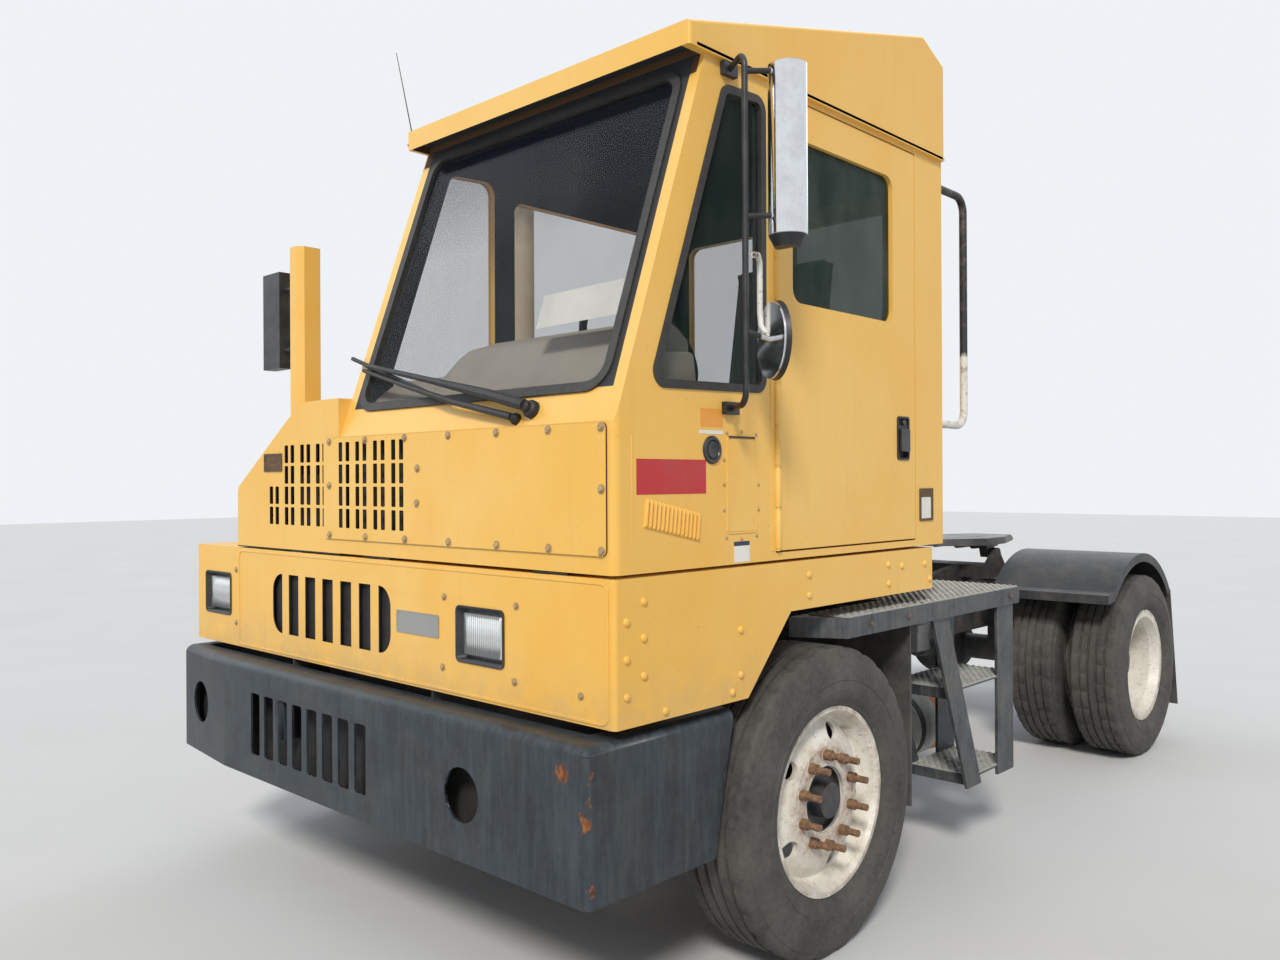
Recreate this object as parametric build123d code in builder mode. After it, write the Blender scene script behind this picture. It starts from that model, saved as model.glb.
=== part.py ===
"""Terminal tractor: an offset-cab yard tractor with a lifting fifth wheel.

Millimetres. +X is the driver's side, -Y the front, +Z up. The origin is on the
ground, midway along the length. Each sub-part is one STEP file in parts/.
"""

import os
from math import cos, hypot, radians, sin

from build123d import *

os.makedirs("parts", exist_ok=True)

# Overall layout
wheelbase = 3200
front_overhang = 1038
rear_overhang = 752
front_axle_y = front_overhang - (front_overhang + wheelbase + rear_overhang) / 2
rear_axle_y = front_axle_y + wheelbase
rear_end_y = rear_axle_y + rear_overhang
bumper_face_y = front_axle_y - front_overhang

# Clearances
seat = 0.3             # between a turning piece and what carries it
gap = 6                # between pieces that move past each other

# Wheels: 22.5 inch rims with low 275/70R22.5 tyres
tyre_r = 488
tyre_half = 138
tread_half = 96
shoulder_half = 116
bead_r = 292
bead_half = 98
flange_r = 299
hub_z = tyre_r
front_wheel_x = 1143
twin_x = 915
twin_spacing = 330

# Lower front body
body_x = 1220
body_right_x = -1210
skirt_front_y = front_axle_y - 947
skirt_bottom_z = 872
skirt_sweep = 44
flange_w = 90
seam_z = 1257
arch_front_y = front_axle_y - 393
arch_knee_y = front_axle_y - 175
arch_top_z = 1105
skirt_rear_y = front_axle_y + 730
sheet = 6
corner_r = 14
cab_corner_r = 26

# Upper body: cab on the driver's side, engine hood beside it
seam_gap = 10
cab_floor_z = seam_z + seam_gap
cab_right_x = -100
cab_wall = 40
cab_rear_y = front_axle_y + 816
belt_z = 1664
screen_base_y = front_axle_y - 940
screen_top_y = front_axle_y - 577
roof_z = 2705
hood_right_x = -847
hood_shoulder_z = 1489
hood_knee_x = -447
hood_knee_z = 1741
hood_top_x = -326
hood_top_z = 1796
hood_rear_y = front_axle_y + 290

# Frame
rail_x = 430
rail_flange = 80
rail_web = 8
rail_bottom_z = 660
rail_top_z = 920
rail_front_y = skirt_front_y + sheet

# Tilt hinges in the seam's front edge: left end and length of each pair of tubes
tilt_y = skirt_front_y + seam_gap / 2
tilt_z = seam_z + seam_gap / 2
tilt_r = seam_gap / 2 - 1
tilt_hinges_x = (-500, 60, 900)
tilt_tube = 70

# Steering
kingpin_x = 983
kingpin_r = 20
steer_arm_y = front_axle_y + 200
steer_arm_x = 943


def box(x, y, z, mode=Mode.ADD):
    """A block between two limits along each axis."""
    with Locations(((x[0] + x[1]) / 2, (y[0] + y[1]) / 2, (z[0] + z[1]) / 2)):
        Box(x[1] - x[0], y[1] - y[0], z[1] - z[0], mode=mode)


def prism(plane, points, depth, mode=Mode.ADD):
    """A straight-sided form: an outline drawn on a plane, and its depth."""
    with BuildSketch(plane) as outline:
        with BuildLine():
            Polyline(*points, close=True)
        make_face()
    extrude(outline.sketch, amount=depth, mode=mode)


def rod(start, end, radius, mode=Mode.ADD):
    """A round bar from one point to another."""
    axis = Vector(*end) - Vector(*start)
    with BuildSketch(Plane(origin=start, z_dir=axis)) as section:
        Circle(radius)
    extrude(section.sketch, amount=axis.length, mode=mode)


def front_edges(part, sides, y):
    """The upright edges where a front face meets the sides."""
    return [e for e in part.edges().filter_by(Axis.Z)
            if abs(e.center().Y - y) < 1 and min(abs(e.center().X - x) for x in sides) < 1]


def across(x):
    """The plane that faces +X at x, drawn in Y and Z."""
    return Plane.YZ.offset(x)


def facing(y):
    """The plane that faces -Y at y, drawn in X and Z."""
    return Plane.XZ.offset(-y)


# Frame: two channels, joined by cross members
pivot_y = front_axle_y + 1900
pivot_z = 840
cylinder_base_y = front_axle_y + 2250
cylinder_base_z = 600
cylinder_x = (-165, 165)
base_pin_r = 18
cross_members = [front_axle_y - 640, front_axle_y + 900, front_axle_y + 1500, rear_end_y - 30]
pivot_tube_r = 45

engine_y = (front_axle_y - 600, front_axle_y + 330)
shaft_start = (0, engine_y[1] + 520, 700)
shaft_end = (0, rear_axle_y - 330, hub_z + 30)

with BuildPart() as frame_rails:
    for side in (1, -1):
        web = side * rail_x
        inner = side * (rail_x - rail_flange)
        channel = [(web, rail_bottom_z), (inner, rail_bottom_z), (inner, rail_bottom_z + 10),
                   (web - side * rail_web, rail_bottom_z + 10), (web - side * rail_web, rail_top_z - 10),
                   (inner, rail_top_z - 10), (inner, rail_top_z), (web, rail_top_z)]
        prism(facing(rear_end_y), channel, rear_end_y - rail_front_y)
    for y in cross_members:
        box((-rail_x + rail_web, rail_x - rail_web), (y - 30, y + 30), (rail_bottom_z + 20, rail_top_z - 20))
    # Tunnel for the drive shaft
    rod(shaft_start, shaft_end, 75, Mode.SUBTRACT)
    # Cross member with the lugs of the lift cylinders
    box((-rail_x + rail_web, rail_x - rail_web), (cylinder_base_y - 130, cylinder_base_y - 55), (690, 790))
    for x in (-245, -100, 85, 230):
        prism(across(x), [(cylinder_base_y - 130, 700), (cylinder_base_y - 130, 640),
                          (cylinder_base_y - 20, 565), (cylinder_base_y + 25, 575),
                          (cylinder_base_y + 25, 625), (cylinder_base_y - 40, 640),
                          (cylinder_base_y - 55, 700)], 15)
    # Bosses of the boom's pivot tube
    for x in (-rail_x + rail_web, rail_x - rail_web - 60):
        rod((x, pivot_y, pivot_z), (x + 60, pivot_y, pivot_z), 68)
    rod((-rail_x, pivot_y, pivot_z), (rail_x, pivot_y, pivot_z), pivot_tube_r + seat, Mode.SUBTRACT)
    # Rear cab support, under the floor's rear edge
    for side in (1, -1):
        box((side * 390 - 35, side * 390 + 35), (cab_rear_y - 130, cab_rear_y - 60),
            (rail_top_z, cab_floor_z - 40))
    box((-425, 425), (cab_rear_y - 130, cab_rear_y - 60), (cab_floor_z - 80, cab_floor_z - 20))
    box((330, 410), (cab_rear_y - 130, cab_rear_y - 60), (cab_floor_z - 20, cab_floor_z - seat))
    # Front cab support
    box((355, 425), (front_axle_y - 700, front_axle_y - 630), (rail_top_z, cab_floor_z - seat))
    for x in cylinder_x:
        rod((x - 90, cylinder_base_y, cylinder_base_z), (x + 90, cylinder_base_y, cylinder_base_z),
            base_pin_r + seat, Mode.SUBTRACT)

frame_rails.part.label = "frame_rails"
export_step(frame_rails.part, "parts/frame_rails.step")

# Front bumper: a folded plate that wraps round both corners
bumper_plate = 8
bumper_top_z = 848
bumper_bottom_z = 437
bumper_x = 1210
bumper_right_x = -1217
bumper_bend_x = -778
bumper_sweep = 44
bumper_end_y = front_axle_y - tyre_r + 43
bumper_low_end_y = front_axle_y - tyre_r - 48
tow_hole_r = 42
tow_holes = [(-998, 646), (708, 626)]
bumper_slots = 8
bumper_slot_pitch = 100
bumper_slot = (66, 223, 10)
bumper_fold_r = 34
bumper_shelf = 90

with BuildPart() as front_bumper:
    t = bumper_plate
    wall = [(bumper_x, bumper_end_y), (bumper_x, bumper_face_y), (bumper_bend_x, bumper_face_y),
            (bumper_right_x, bumper_face_y + bumper_sweep), (bumper_right_x, bumper_end_y),
            (bumper_right_x + t, bumper_end_y), (bumper_right_x + t, bumper_face_y + bumper_sweep + t),
            (bumper_bend_x, bumper_face_y + t), (bumper_x - t, bumper_face_y + t), (bumper_x - t, bumper_end_y)]
    prism(Plane.XY.offset(bumper_bottom_z), wall, bumper_top_z - bumper_bottom_z)
    ledge = [(bumper_x, bumper_face_y), (bumper_bend_x, bumper_face_y),
             (bumper_right_x, bumper_face_y + bumper_sweep), (bumper_right_x, rail_front_y),
             (bumper_x, rail_front_y)]
    prism(Plane.XY.offset(bumper_top_z - t), ledge, t)
    for x in (bumper_right_x, bumper_x - bumper_shelf):
        box((x, x + bumper_shelf), (rail_front_y - 1, bumper_end_y), (bumper_top_z - t, bumper_top_z))
    # Slanted rear ends of the wraps
    prism(across(bumper_right_x), [(bumper_end_y, bumper_top_z), (bumper_end_y + 10, bumper_bottom_z),
                                   (bumper_low_end_y, bumper_bottom_z)],
          bumper_x - bumper_right_x, Mode.SUBTRACT)
    # Webs that bolt to the frame's front ends
    for side in (1, -1):
        box((side * 390 - 40, side * 390 + 40), (bumper_face_y + t, rail_front_y), (600, bumper_top_z - t))
    with BuildSketch(facing(bumper_face_y + 20)) as slots:
        with Locations((-178, 632)):
            with GridLocations(bumper_slot_pitch, 1, bumper_slots, 1):
                RectangleRounded(*bumper_slot)
    extrude(slots.sketch, amount=40, mode=Mode.SUBTRACT)
    with BuildSketch(facing(bumper_face_y + bumper_sweep)) as eyes:
        with Locations(*tow_holes):
            Circle(tow_hole_r)
    extrude(eyes.sketch, amount=bumper_sweep + 20, mode=Mode.SUBTRACT)
    # Folded upper edge, rounded inside and out
    for z, inset, radius in ((bumper_top_z - t, t, bumper_fold_r - t), (bumper_top_z, 0, bumper_fold_r)):
        folded = [e for e in front_bumper.edges().filter_by(Plane.XY)
                  if abs(e.center().Z - z) < 1 and e.length > 300
                  and (e.center().Y < bumper_face_y + bumper_sweep + inset
                       or abs(abs(e.center().X) - bumper_x + inset) < 9)
                  and abs(e.center().Y - rail_front_y) > 5]
        fillet(folded, radius)

front_bumper.part.label = "front_bumper"
export_step(front_bumper.part, "parts/front_bumper.step")

# Lower front body: the skirt below the seam, with a deck on the right
lower_grille = dict(x0=-568, x1=210, z0=955, z1=1173, count=7, bar=47, corner=66)
lamp_w = 225
lamp_h = 168
lamps = [(670, 1060), (-1016, 1070)]

def swept(x):
    """How far the body's right front corner is swept back at x."""
    return skirt_sweep * max(0, hood_right_x - x) / (hood_right_x - body_right_x)


def lamp_plane(x, z, depth):
    """A plane behind the front face at a lamp, parallel to the face there."""
    lean = (swept(x - 1) - swept(x)) if x < hood_right_x else 0
    out = Vector(-lean, -1, 0).normalized()
    origin = Vector(x, skirt_front_y + swept(x), z) - out * depth
    return Plane(origin=origin, x_dir=(-out.Y, out.X, 0), z_dir=out)


with BuildPart() as front_skirt:
    side_outline = [(skirt_front_y, skirt_bottom_z), (arch_front_y, skirt_bottom_z), (arch_knee_y, arch_top_z),
                    (skirt_rear_y, arch_top_z), (skirt_rear_y, seam_z), (skirt_front_y, seam_z)]
    prism(across(body_right_x), side_outline, body_x - body_right_x)
    swept_off = [(hood_right_x, skirt_front_y), (body_right_x - 1, skirt_front_y - 1),
                 (body_right_x - 1, skirt_front_y + skirt_sweep)]
    prism(Plane.XY.offset(500), swept_off, 800, Mode.SUBTRACT)
    fillet(front_edges(front_skirt, (body_x,), skirt_front_y), corner_r)
    box((hood_right_x + sheet, body_x - sheet), (skirt_front_y + sheet, skirt_rear_y + 50), (500, seam_z - sheet),
        Mode.SUBTRACT)
    # Flange under the seam, round the opening for the engine and the cab's floor
    box((hood_right_x + flange_w, body_x - flange_w), (skirt_front_y + flange_w, skirt_rear_y + 50),
        (500, seam_z + 50), Mode.SUBTRACT)
    box((hood_right_x + sheet, hood_right_x + flange_w + 1), (hood_rear_y, skirt_rear_y + 50), (500, seam_z + 50),
        Mode.SUBTRACT)
    deck_inside = [(hood_right_x + sheet + 1, skirt_front_y + sheet), (hood_right_x, skirt_front_y + sheet),
                   (body_right_x + sheet, skirt_front_y + sheet + swept(body_right_x + sheet)),
                   (body_right_x + sheet, skirt_rear_y + 50), (hood_right_x + sheet + 1, skirt_rear_y + 50)]
    prism(Plane.XY.offset(500), deck_inside, seam_z - sheet - 500, Mode.SUBTRACT)
    grille_w = lower_grille["x1"] - lower_grille["x0"]
    grille_h = lower_grille["z1"] - lower_grille["z0"]
    bar_pitch = (grille_w + lower_grille["bar"]) / lower_grille["count"]
    with BuildSketch(facing(skirt_front_y + 20)) as openings:
        with Locations(((lower_grille["x0"] + lower_grille["x1"]) / 2,
                        (lower_grille["z0"] + lower_grille["z1"]) / 2)):
            RectangleRounded(grille_w, grille_h, lower_grille["corner"])
            with GridLocations(bar_pitch, 1, lower_grille["count"] - 1, 1):
                Rectangle(lower_grille["bar"], grille_h, mode=Mode.SUBTRACT)
    extrude(openings.sketch, amount=40, mode=Mode.SUBTRACT)
    for x, z in lamps:
        with BuildSketch(lamp_plane(x, z, 20)) as hole:
            RectangleRounded(lamp_w, lamp_h, 18)
        extrude(hole.sketch, amount=40, mode=Mode.SUBTRACT)
    # Lower halves of the tilt hinges
    for x in tilt_hinges_x:
        rod((x + tilt_tube + seat, tilt_y, tilt_z), (x + 2 * tilt_tube, tilt_y, tilt_z), tilt_r)
        box((x + tilt_tube + seat, x + 2 * tilt_tube), (tilt_y - 2, tilt_y + 1), (seam_z - 2, tilt_z))

front_skirt.part.label = "front_skirt"
export_step(front_skirt.part, "parts/front_skirt.step")

# Headlamps: black boxes let into the skirt, with rectangular lamps
lamp_depth = 110

with BuildPart() as lamp_boxes:
    for x, z in lamps:
        with BuildSketch(lamp_plane(x, z, lamp_depth)) as back:
            RectangleRounded(lamp_w, lamp_h, 18)
        extrude(back.sketch, amount=lamp_depth + 4)
        with BuildSketch(lamp_plane(x, z, lamp_depth - 8)) as hollow:
            RectangleRounded(lamp_w - 16, lamp_h - 16, 12)
        extrude(hollow.sketch, amount=lamp_depth + 4, mode=Mode.SUBTRACT)

lamp_boxes.part.label = "lamp_boxes"
export_step(lamp_boxes.part, "parts/lamp_boxes.step")

with BuildPart() as headlamps:
    for x, z in lamps:
        with BuildSketch(lamp_plane(x, z, lamp_depth - 8)) as lens:
            RectangleRounded(lamp_w - 17, lamp_h - 17, 12)
        extrude(lens.sketch, amount=50)
        extrude(lens.sketch, amount=68, taper=12)

headlamps.part.label = "headlamps"
export_step(headlamps.part, "parts/headlamps.step")

# Engine with its gearbox, and the radiator ahead of it
with BuildPart() as engine_block:
    box((-300, 300), engine_y, (560, 1180))
    rod((0, engine_y[1], 760), (0, engine_y[1] + 520, 700), 170)

engine_block.part.label = "engine_block"
export_step(engine_block.part, "parts/engine_block.step")

radiator_span = (front_axle_y - 845, front_axle_y - 755)
flange_clear_z = seam_z - 20

with BuildPart() as radiator:
    box((-700, 260), radiator_span, (rail_top_z, flange_clear_z))
    box((-640, cab_right_x - 60), radiator_span, (rail_top_z, 1540))
    # Charge air cooler between the rails, behind the bumper's slots
    box((-345, 345), radiator_span, (bumper_bottom_z + 60, rail_top_z))

radiator.part.label = "radiator"
export_step(radiator.part, "parts/radiator.step")

# Front axle: a dropped beam on two leaf springs
beam_z = (360, 450)
eye_z = (440, 560)
eye_r = 38

with BuildPart() as front_axle:
    prism(facing(front_axle_y + 45),
          [(-560, beam_z[0]), (560, beam_z[0]), (760, eye_z[0]), (kingpin_x - 20, eye_z[0]),
           (kingpin_x - 20, eye_z[1]), (760, eye_z[1]), (560, beam_z[1]), (-560, beam_z[1]),
           (-760, eye_z[1]), (20 - kingpin_x, eye_z[1]), (20 - kingpin_x, eye_z[0]), (-760, eye_z[0])], 90)
    for side in (1, -1):
        rod((side * kingpin_x, front_axle_y, eye_z[0]), (side * kingpin_x, front_axle_y, eye_z[1]), eye_r)
        rod((side * kingpin_x, front_axle_y, eye_z[0]), (side * kingpin_x, front_axle_y, eye_z[1]),
            kingpin_r + seat, Mode.SUBTRACT)

front_axle.part.label = "front_axle"
export_step(front_axle.part, "parts/front_axle.step")

spring_x = 390
spring_w = 70
spring_reach = 560
spring_top_z = 515
eye_rise_z = 600
leaf_t = 12
leaf_halves = (560, 450, 340, 230)
leaf_r = (spring_reach ** 2 + (eye_rise_z - spring_top_z) ** 2) / (2 * (eye_rise_z - spring_top_z))

with BuildPart() as front_springs:
    for side in (1, -1):
        left = side * spring_x - spring_w / 2
        y0 = front_axle_y
        for number, half in enumerate(leaf_halves):
            outer = leaf_r + leaf_t * (number + 1)
            with BuildSketch(across(left)) as leaf:
                with Locations((y0, spring_top_z + leaf_r)):
                    Circle(outer)
                    Circle(outer - leaf_t, mode=Mode.SUBTRACT)
                with Locations((y0, spring_top_z)):
                    Rectangle(2 * half, 500, mode=Mode.INTERSECT)
            extrude(leaf.sketch, amount=spring_w)
        box((left - 8, left + spring_w + 8), (y0 - 70, y0 + 70), (beam_z[1], spring_top_z + 16))
        for end in (-spring_reach, spring_reach):
            rod((left, y0 + end, eye_rise_z), (left + spring_w, y0 + end, eye_rise_z), 26)
            box((left, left + spring_w), (y0 + end - 26, y0 + end + 26), (eye_rise_z, rail_bottom_z))

front_springs.part.label = "front_springs"
export_step(front_springs.part, "parts/front_springs.step")

# Rear axle: banjo housing under the frame, with a spindle at each end
rear_spindle_r = 45
rear_spindle_x = 1000

with BuildPart() as rear_axle:
    rod((-600, rear_axle_y, hub_z), (600, rear_axle_y, hub_z), 75)
    rod((-rear_spindle_x, rear_axle_y, hub_z), (rear_spindle_x, rear_axle_y, hub_z), rear_spindle_r)
    with BuildSketch(Plane.YZ) as bowl:
        with BuildLine():
            cover = ThreePointArc((rear_axle_y + 125, hub_z + 90), (rear_axle_y + 105, hub_z + 155),
                                  (rear_axle_y + 40, hub_z + 185))
            crown = Line(cover @ 1, (rear_axle_y - 40, hub_z + 185))
            neck = ThreePointArc(crown @ 1, (rear_axle_y - 110, hub_z + 150), (rear_axle_y - 150, hub_z + 90))
            Polyline(neck @ 1, (rear_axle_y - 150, hub_z), (rear_axle_y + 125, hub_z), cover @ 0)
        make_face()
    revolve(bowl.sketch, axis=Axis((0, rear_axle_y, hub_z), (0, 1, 0)))
    rod((0, rear_axle_y - 130, hub_z + 10), (0, rear_axle_y - 330, hub_z + 30), 75)
    for side in (1, -1):
        box((side * 390 - 45, side * 390 + 45), (rear_axle_y - 110, rear_axle_y + 110), (hub_z, rail_bottom_z))

rear_axle.part.label = "rear_axle"
export_step(rear_axle.part, "parts/rear_axle.step")

with BuildPart() as drive_shaft:
    run = Vector(*shaft_end) - Vector(*shaft_start)
    end_gap = run.normalized() * 2
    rod(tuple(Vector(*shaft_start) + end_gap), tuple(Vector(*shaft_end) - end_gap), 45)

drive_shaft.part.label = "drive_shaft"
export_step(drive_shaft.part, "parts/drive_shaft.step")

# Deck behind the cab, over the frame
deck_y = (cab_rear_y + 50, pivot_y - 160)

with BuildPart() as rear_deck:
    box((-rail_x, rail_x), deck_y, (rail_top_z, rail_top_z + 8))
    box((-rail_x, rail_x), (deck_y[0], deck_y[0] + 8), (rail_top_z, rail_top_z + 60))

rear_deck.part.label = "rear_deck"
export_step(rear_deck.part, "parts/rear_deck.step")

# Entry platform and ladder on the driver's side
platform_t = 26
platform_clear = 54
platform_top_z = 2 * tyre_r + platform_clear + platform_t
platform_edge = 66
platform_x = (rail_x, 1245)
platform_y = (front_axle_y + 110, front_axle_y + 1440)
platform_nose = (1077, front_axle_y + 16)
ladder_x = (960, platform_x[1] - 22)
ladder_y = (front_axle_y + 690, front_axle_y + 1400)
step_z = (345, 705)
step_t = 40
ladder_plate = 12

with BuildPart() as side_platform:
    nose_x, nose_y = platform_nose
    prism(Plane.XY.offset(platform_top_z - platform_t),
          [(nose_x, nose_y), (platform_x[1], platform_y[0]), (platform_x[1], platform_y[1]),
           (platform_x[0], platform_y[1]), (platform_x[0], front_axle_y + 620), (nose_x, front_axle_y + 620)],
          platform_t)
    # Channel that stiffens the outer edges
    prism(Plane.XY.offset(platform_top_z - platform_edge),
          [(platform_x[1], platform_y[0]), (platform_x[1], platform_y[1]), (platform_x[0], platform_y[1]),
           (platform_x[0], platform_y[1] - 8), (platform_x[1] - 8, platform_y[1] - 8),
           (platform_x[1] - 8, platform_y[0] + 5), (nose_x, nose_y + 9), (nose_x, nose_y)],
          platform_edge)
    box((platform_x[0], platform_x[0] + 10), (front_axle_y + 620, platform_y[1]),
        (rail_top_z - 120, platform_top_z))

side_platform.part.label = "side_platform"
export_step(side_platform.part, "parts/side_platform.step")

with BuildPart() as side_steps:
    top_z = platform_top_z - platform_t
    foot_z = step_z[0] - step_t
    stringer_run = 290
    stringer_w = 120
    for x in ladder_x:
        prism(across(x), [(ladder_y[0], top_z), (ladder_y[0] + stringer_w, top_z),
                          (ladder_y[0] + stringer_w + stringer_run, foot_z), (ladder_y[0] + stringer_run, foot_z)],
              ladder_plate)
        box((x, x + ladder_plate), (ladder_y[1] - 150, ladder_y[1]), (foot_z, top_z))
    for z in step_z:
        forward = ladder_y[0] + stringer_w / 2 + stringer_run * (top_z - z) / (top_z - foot_z)
        with BuildSketch(across(ladder_x[0])) as tread:
            with Locations(((forward + ladder_y[1]) / 2, z - step_t / 2)):
                Rectangle(ladder_y[1] - forward, step_t)
                with Locations((0, -4)):
                    Rectangle(ladder_y[1] - forward - 8, step_t - 4, mode=Mode.SUBTRACT)
        extrude(tread.sketch, amount=ladder_x[1] + ladder_plate - ladder_x[0])

side_steps.part.label = "side_steps"
export_step(side_steps.part, "parts/side_steps.step")

# Fuel tank on the right, battery box on the left, air tanks inside the frame
with BuildPart() as fuel_tank:
    with BuildSketch(facing(front_axle_y + 1560)) as section:
        with Locations((-800, 690)):
            RectangleRounded(600, 540, 90)
    extrude(section.sketch, amount=820)
    for y in (front_axle_y + 900, front_axle_y + 1400):
        box((-510, -rail_x), (y - 40, y + 40), (rail_bottom_z, rail_bottom_z + 200))

fuel_tank.part.label = "fuel_tank"
export_step(fuel_tank.part, "parts/fuel_tank.step")

with BuildPart() as battery_box:
    box((rail_x + 10, 900), (front_axle_y + 660, front_axle_y + 1150), (470, platform_top_z - platform_t - 40))

battery_box.part.label = "battery_box"
export_step(battery_box.part, "parts/battery_box.step")

# Exhaust: silencer and stack behind the hood
stack_x = -740
stack_y = front_axle_y + 408
muffler_r = 98
stack_r = 62
stack_wall = 3
muffler_z = (1010, 1800)
stack_top_z = 2860

with BuildPart() as exhaust_stack:
    with BuildSketch(across(stack_x)) as silhouette:
        with BuildLine():
            Polyline((stack_y, muffler_z[0]), (stack_y + muffler_r - 15, muffler_z[0]),
                     (stack_y + muffler_r, muffler_z[0] + 15), (stack_y + muffler_r, muffler_z[1] - 40),
                     (stack_y + stack_r, muffler_z[1]), (stack_y + stack_r, stack_top_z), (stack_y, stack_top_z),
                     close=True)
        make_face()
    revolve(silhouette.sketch, axis=Axis((stack_x, stack_y, 0), (0, 0, 1)))
    rod((stack_x, stack_y, muffler_z[1] + 100), (stack_x, stack_y, stack_top_z + 1), stack_r - stack_wall,
        Mode.SUBTRACT)
    # Shelf that carries it on the frame
    box((stack_x - 50, -rail_x), (stack_y - 8, stack_y + 62), (muffler_z[0] - 30, muffler_z[0]))
    box((-rail_x - 60, -rail_x), (stack_y - 8, stack_y + 62), (rail_top_z - 120, muffler_z[0] - 30))

exhaust_stack.part.label = "exhaust_stack"
export_step(exhaust_stack.part, "parts/exhaust_stack.step")

# Rear fenders: an arc over each pair of tyres, with a flat lip ahead of it and an edge turned down
fender_x = (545, 1190)
fender_y = rear_axle_y - 30
fender_z = hub_z
fender_r = tyre_r + 122
fender_sheet = 5
fender_lip = 46
fender_lip_run = 85
fender_start = 135
fender_end = 38

with BuildPart() as rear_fenders:
    for side in (1, -1):
        left = min(side * fender_x[0], side * fender_x[1])
        lip = (fender_y + fender_r * cos(radians(fender_start)), fender_z + fender_r * sin(radians(fender_start)))
        for depth, x, width in ((fender_sheet, left, fender_x[1] - fender_x[0]),
                                (fender_lip, side * fender_x[1] - (fender_sheet if side > 0 else 0), fender_sheet)):
            with BuildSketch(across(x)) as band:
                with BuildLine():
                    outer = CenterArc((fender_y, fender_z), fender_r, fender_end, fender_start - fender_end)
                    inner = CenterArc((fender_y, fender_z), fender_r - depth, fender_end, fender_start - fender_end)
                    Line(outer @ 0, inner @ 0)
                    Line(outer @ 1, inner @ 1)
                make_face()
                with BuildLine():
                    Polyline(lip, (lip[0] - fender_lip_run, lip[1] - 10), (lip[0] - fender_lip_run, lip[1] - 10 - depth),
                             (lip[0] + 20, lip[1] - depth), (lip[0] + 20, lip[1] + 10), close=True)
                make_face()
            extrude(band.sketch, amount=width)
        lip_y = lip[0] - fender_lip_run
        box((left, left + fender_x[1] - fender_x[0]), (lip_y, lip_y + fender_sheet),
            (lip[1] - 10 - fender_lip, lip[1] - 10))
        # Arms out from the frame
        for y in (fender_y - 330, fender_y + 330):
            rise = fender_z + (fender_r ** 2 - (abs(y - fender_y) + 20) ** 2) ** 0.5 - 2
            box(sorted((side * rail_x, side * 585)), (y - 20, y + 20), (rail_top_z - 80, rail_top_z - 40))
            box(sorted((side * fender_x[0], side * 585)), (y - 20, y + 20), (rail_top_z - 80, rise))

rear_fenders.part.label = "rear_fenders"
export_step(rear_fenders.part, "parts/rear_fenders.step")

# Mud flaps: rubber sheets behind the wheels
flap_front_y = front_axle_y + 570
flap_t = 10
flap_lean = 130
flap_bottom_z = 180

with BuildPart() as mud_flaps:
    box((905, 1215), (flap_front_y, flap_front_y + flap_t), (330, platform_top_z - platform_t))
    tip = (fender_y + fender_r * cos(radians(fender_end)), fender_z + fender_r * sin(radians(fender_end)))
    for side in (1, -1):
        left = min(side * fender_x[0], side * fender_x[1])
        prism(across(left), [tip, (tip[0] + flap_lean, flap_bottom_z), (tip[0] + flap_lean + flap_t, flap_bottom_z),
                             (tip[0] + flap_t, tip[1])], fender_x[1] - fender_x[0])

mud_flaps.part.label = "mud_flaps"
export_step(mud_flaps.part, "parts/mud_flaps.step")

with BuildPart() as tail_lamps:
    for side in (1, -1):
        box((side * 390 - 38, side * 390 + 38), (rear_end_y, rear_end_y + 30), (700, 860))

tail_lamps.part.label = "tail_lamps"
export_step(tail_lamps.part, "parts/tail_lamps.step")

# Air intake post on the right deck, which also carries the right mirror
post_x = (-1152, -1050)
post_y = (front_axle_y - 575, front_axle_y - 473)
post_top_z = 2530

with BuildPart() as intake_post:
    box(post_x, post_y, (seam_z, post_top_z))
    chamfer(front_edges(intake_post, post_x, post_y[0]), 26)

intake_post.part.label = "intake_post"
export_step(intake_post.part, "parts/intake_post.step")

mirror_w = 150
mirror_x = -1420
mirror_h = 430
mirror_d = 60

with BuildPart() as right_mirror:
    box((mirror_x, mirror_x + mirror_w), (post_y[0] + 25, post_y[0] + 25 + mirror_d), (2020, 2020 + mirror_h))
    for z in (2100, 2370):
        rod((-1300, post_y[0] + 55, z), (post_x[0], post_y[0] + 55, z), 10)
    with BuildSketch(facing(post_y[0] + 25 + mirror_d + 1)) as glass:
        with Locations((mirror_x + mirror_w / 2, 2020 + mirror_h / 2)):
            RectangleRounded(mirror_w - 16, mirror_h - 16, 12)
    extrude(glass.sketch, amount=7, mode=Mode.SUBTRACT)

right_mirror.part.label = "right_mirror"
export_step(right_mirror.part, "parts/right_mirror.step")

# Cab shell: floor, front, sides and back, with every window and door cut
screen_rise = roof_z - belt_z
screen_run = screen_top_y - screen_base_y
screen_slope = hypot(screen_rise, screen_run)
up_screen = Vector(0, screen_run / screen_slope, screen_rise / screen_slope)
screen_plane = Plane(origin=((cab_right_x + body_x) / 2, screen_base_y, belt_z), x_dir=(1, 0, 0),
                     z_dir=(0, -up_screen.Z, up_screen.Y))
screen_w = 1205
screen_s = (86, 1078)
screen_corner = 85
door_y = (front_axle_y - 245, front_axle_y + 605)
door_z = (1295, 2685)
rear_door_x = (480, 1100)
rear_door_z = (1310, 2620)
hinge_r = 6
hinge_x = body_x + hinge_r
hinge_y = door_y[0] - gap / 2
hinge_leaf = 2
quarter = [(front_axle_y - 818, 1756), (front_axle_y - 300, 1768), (front_axle_y - 297, 2653),
           (front_axle_y - 500, 2642)]
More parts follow.
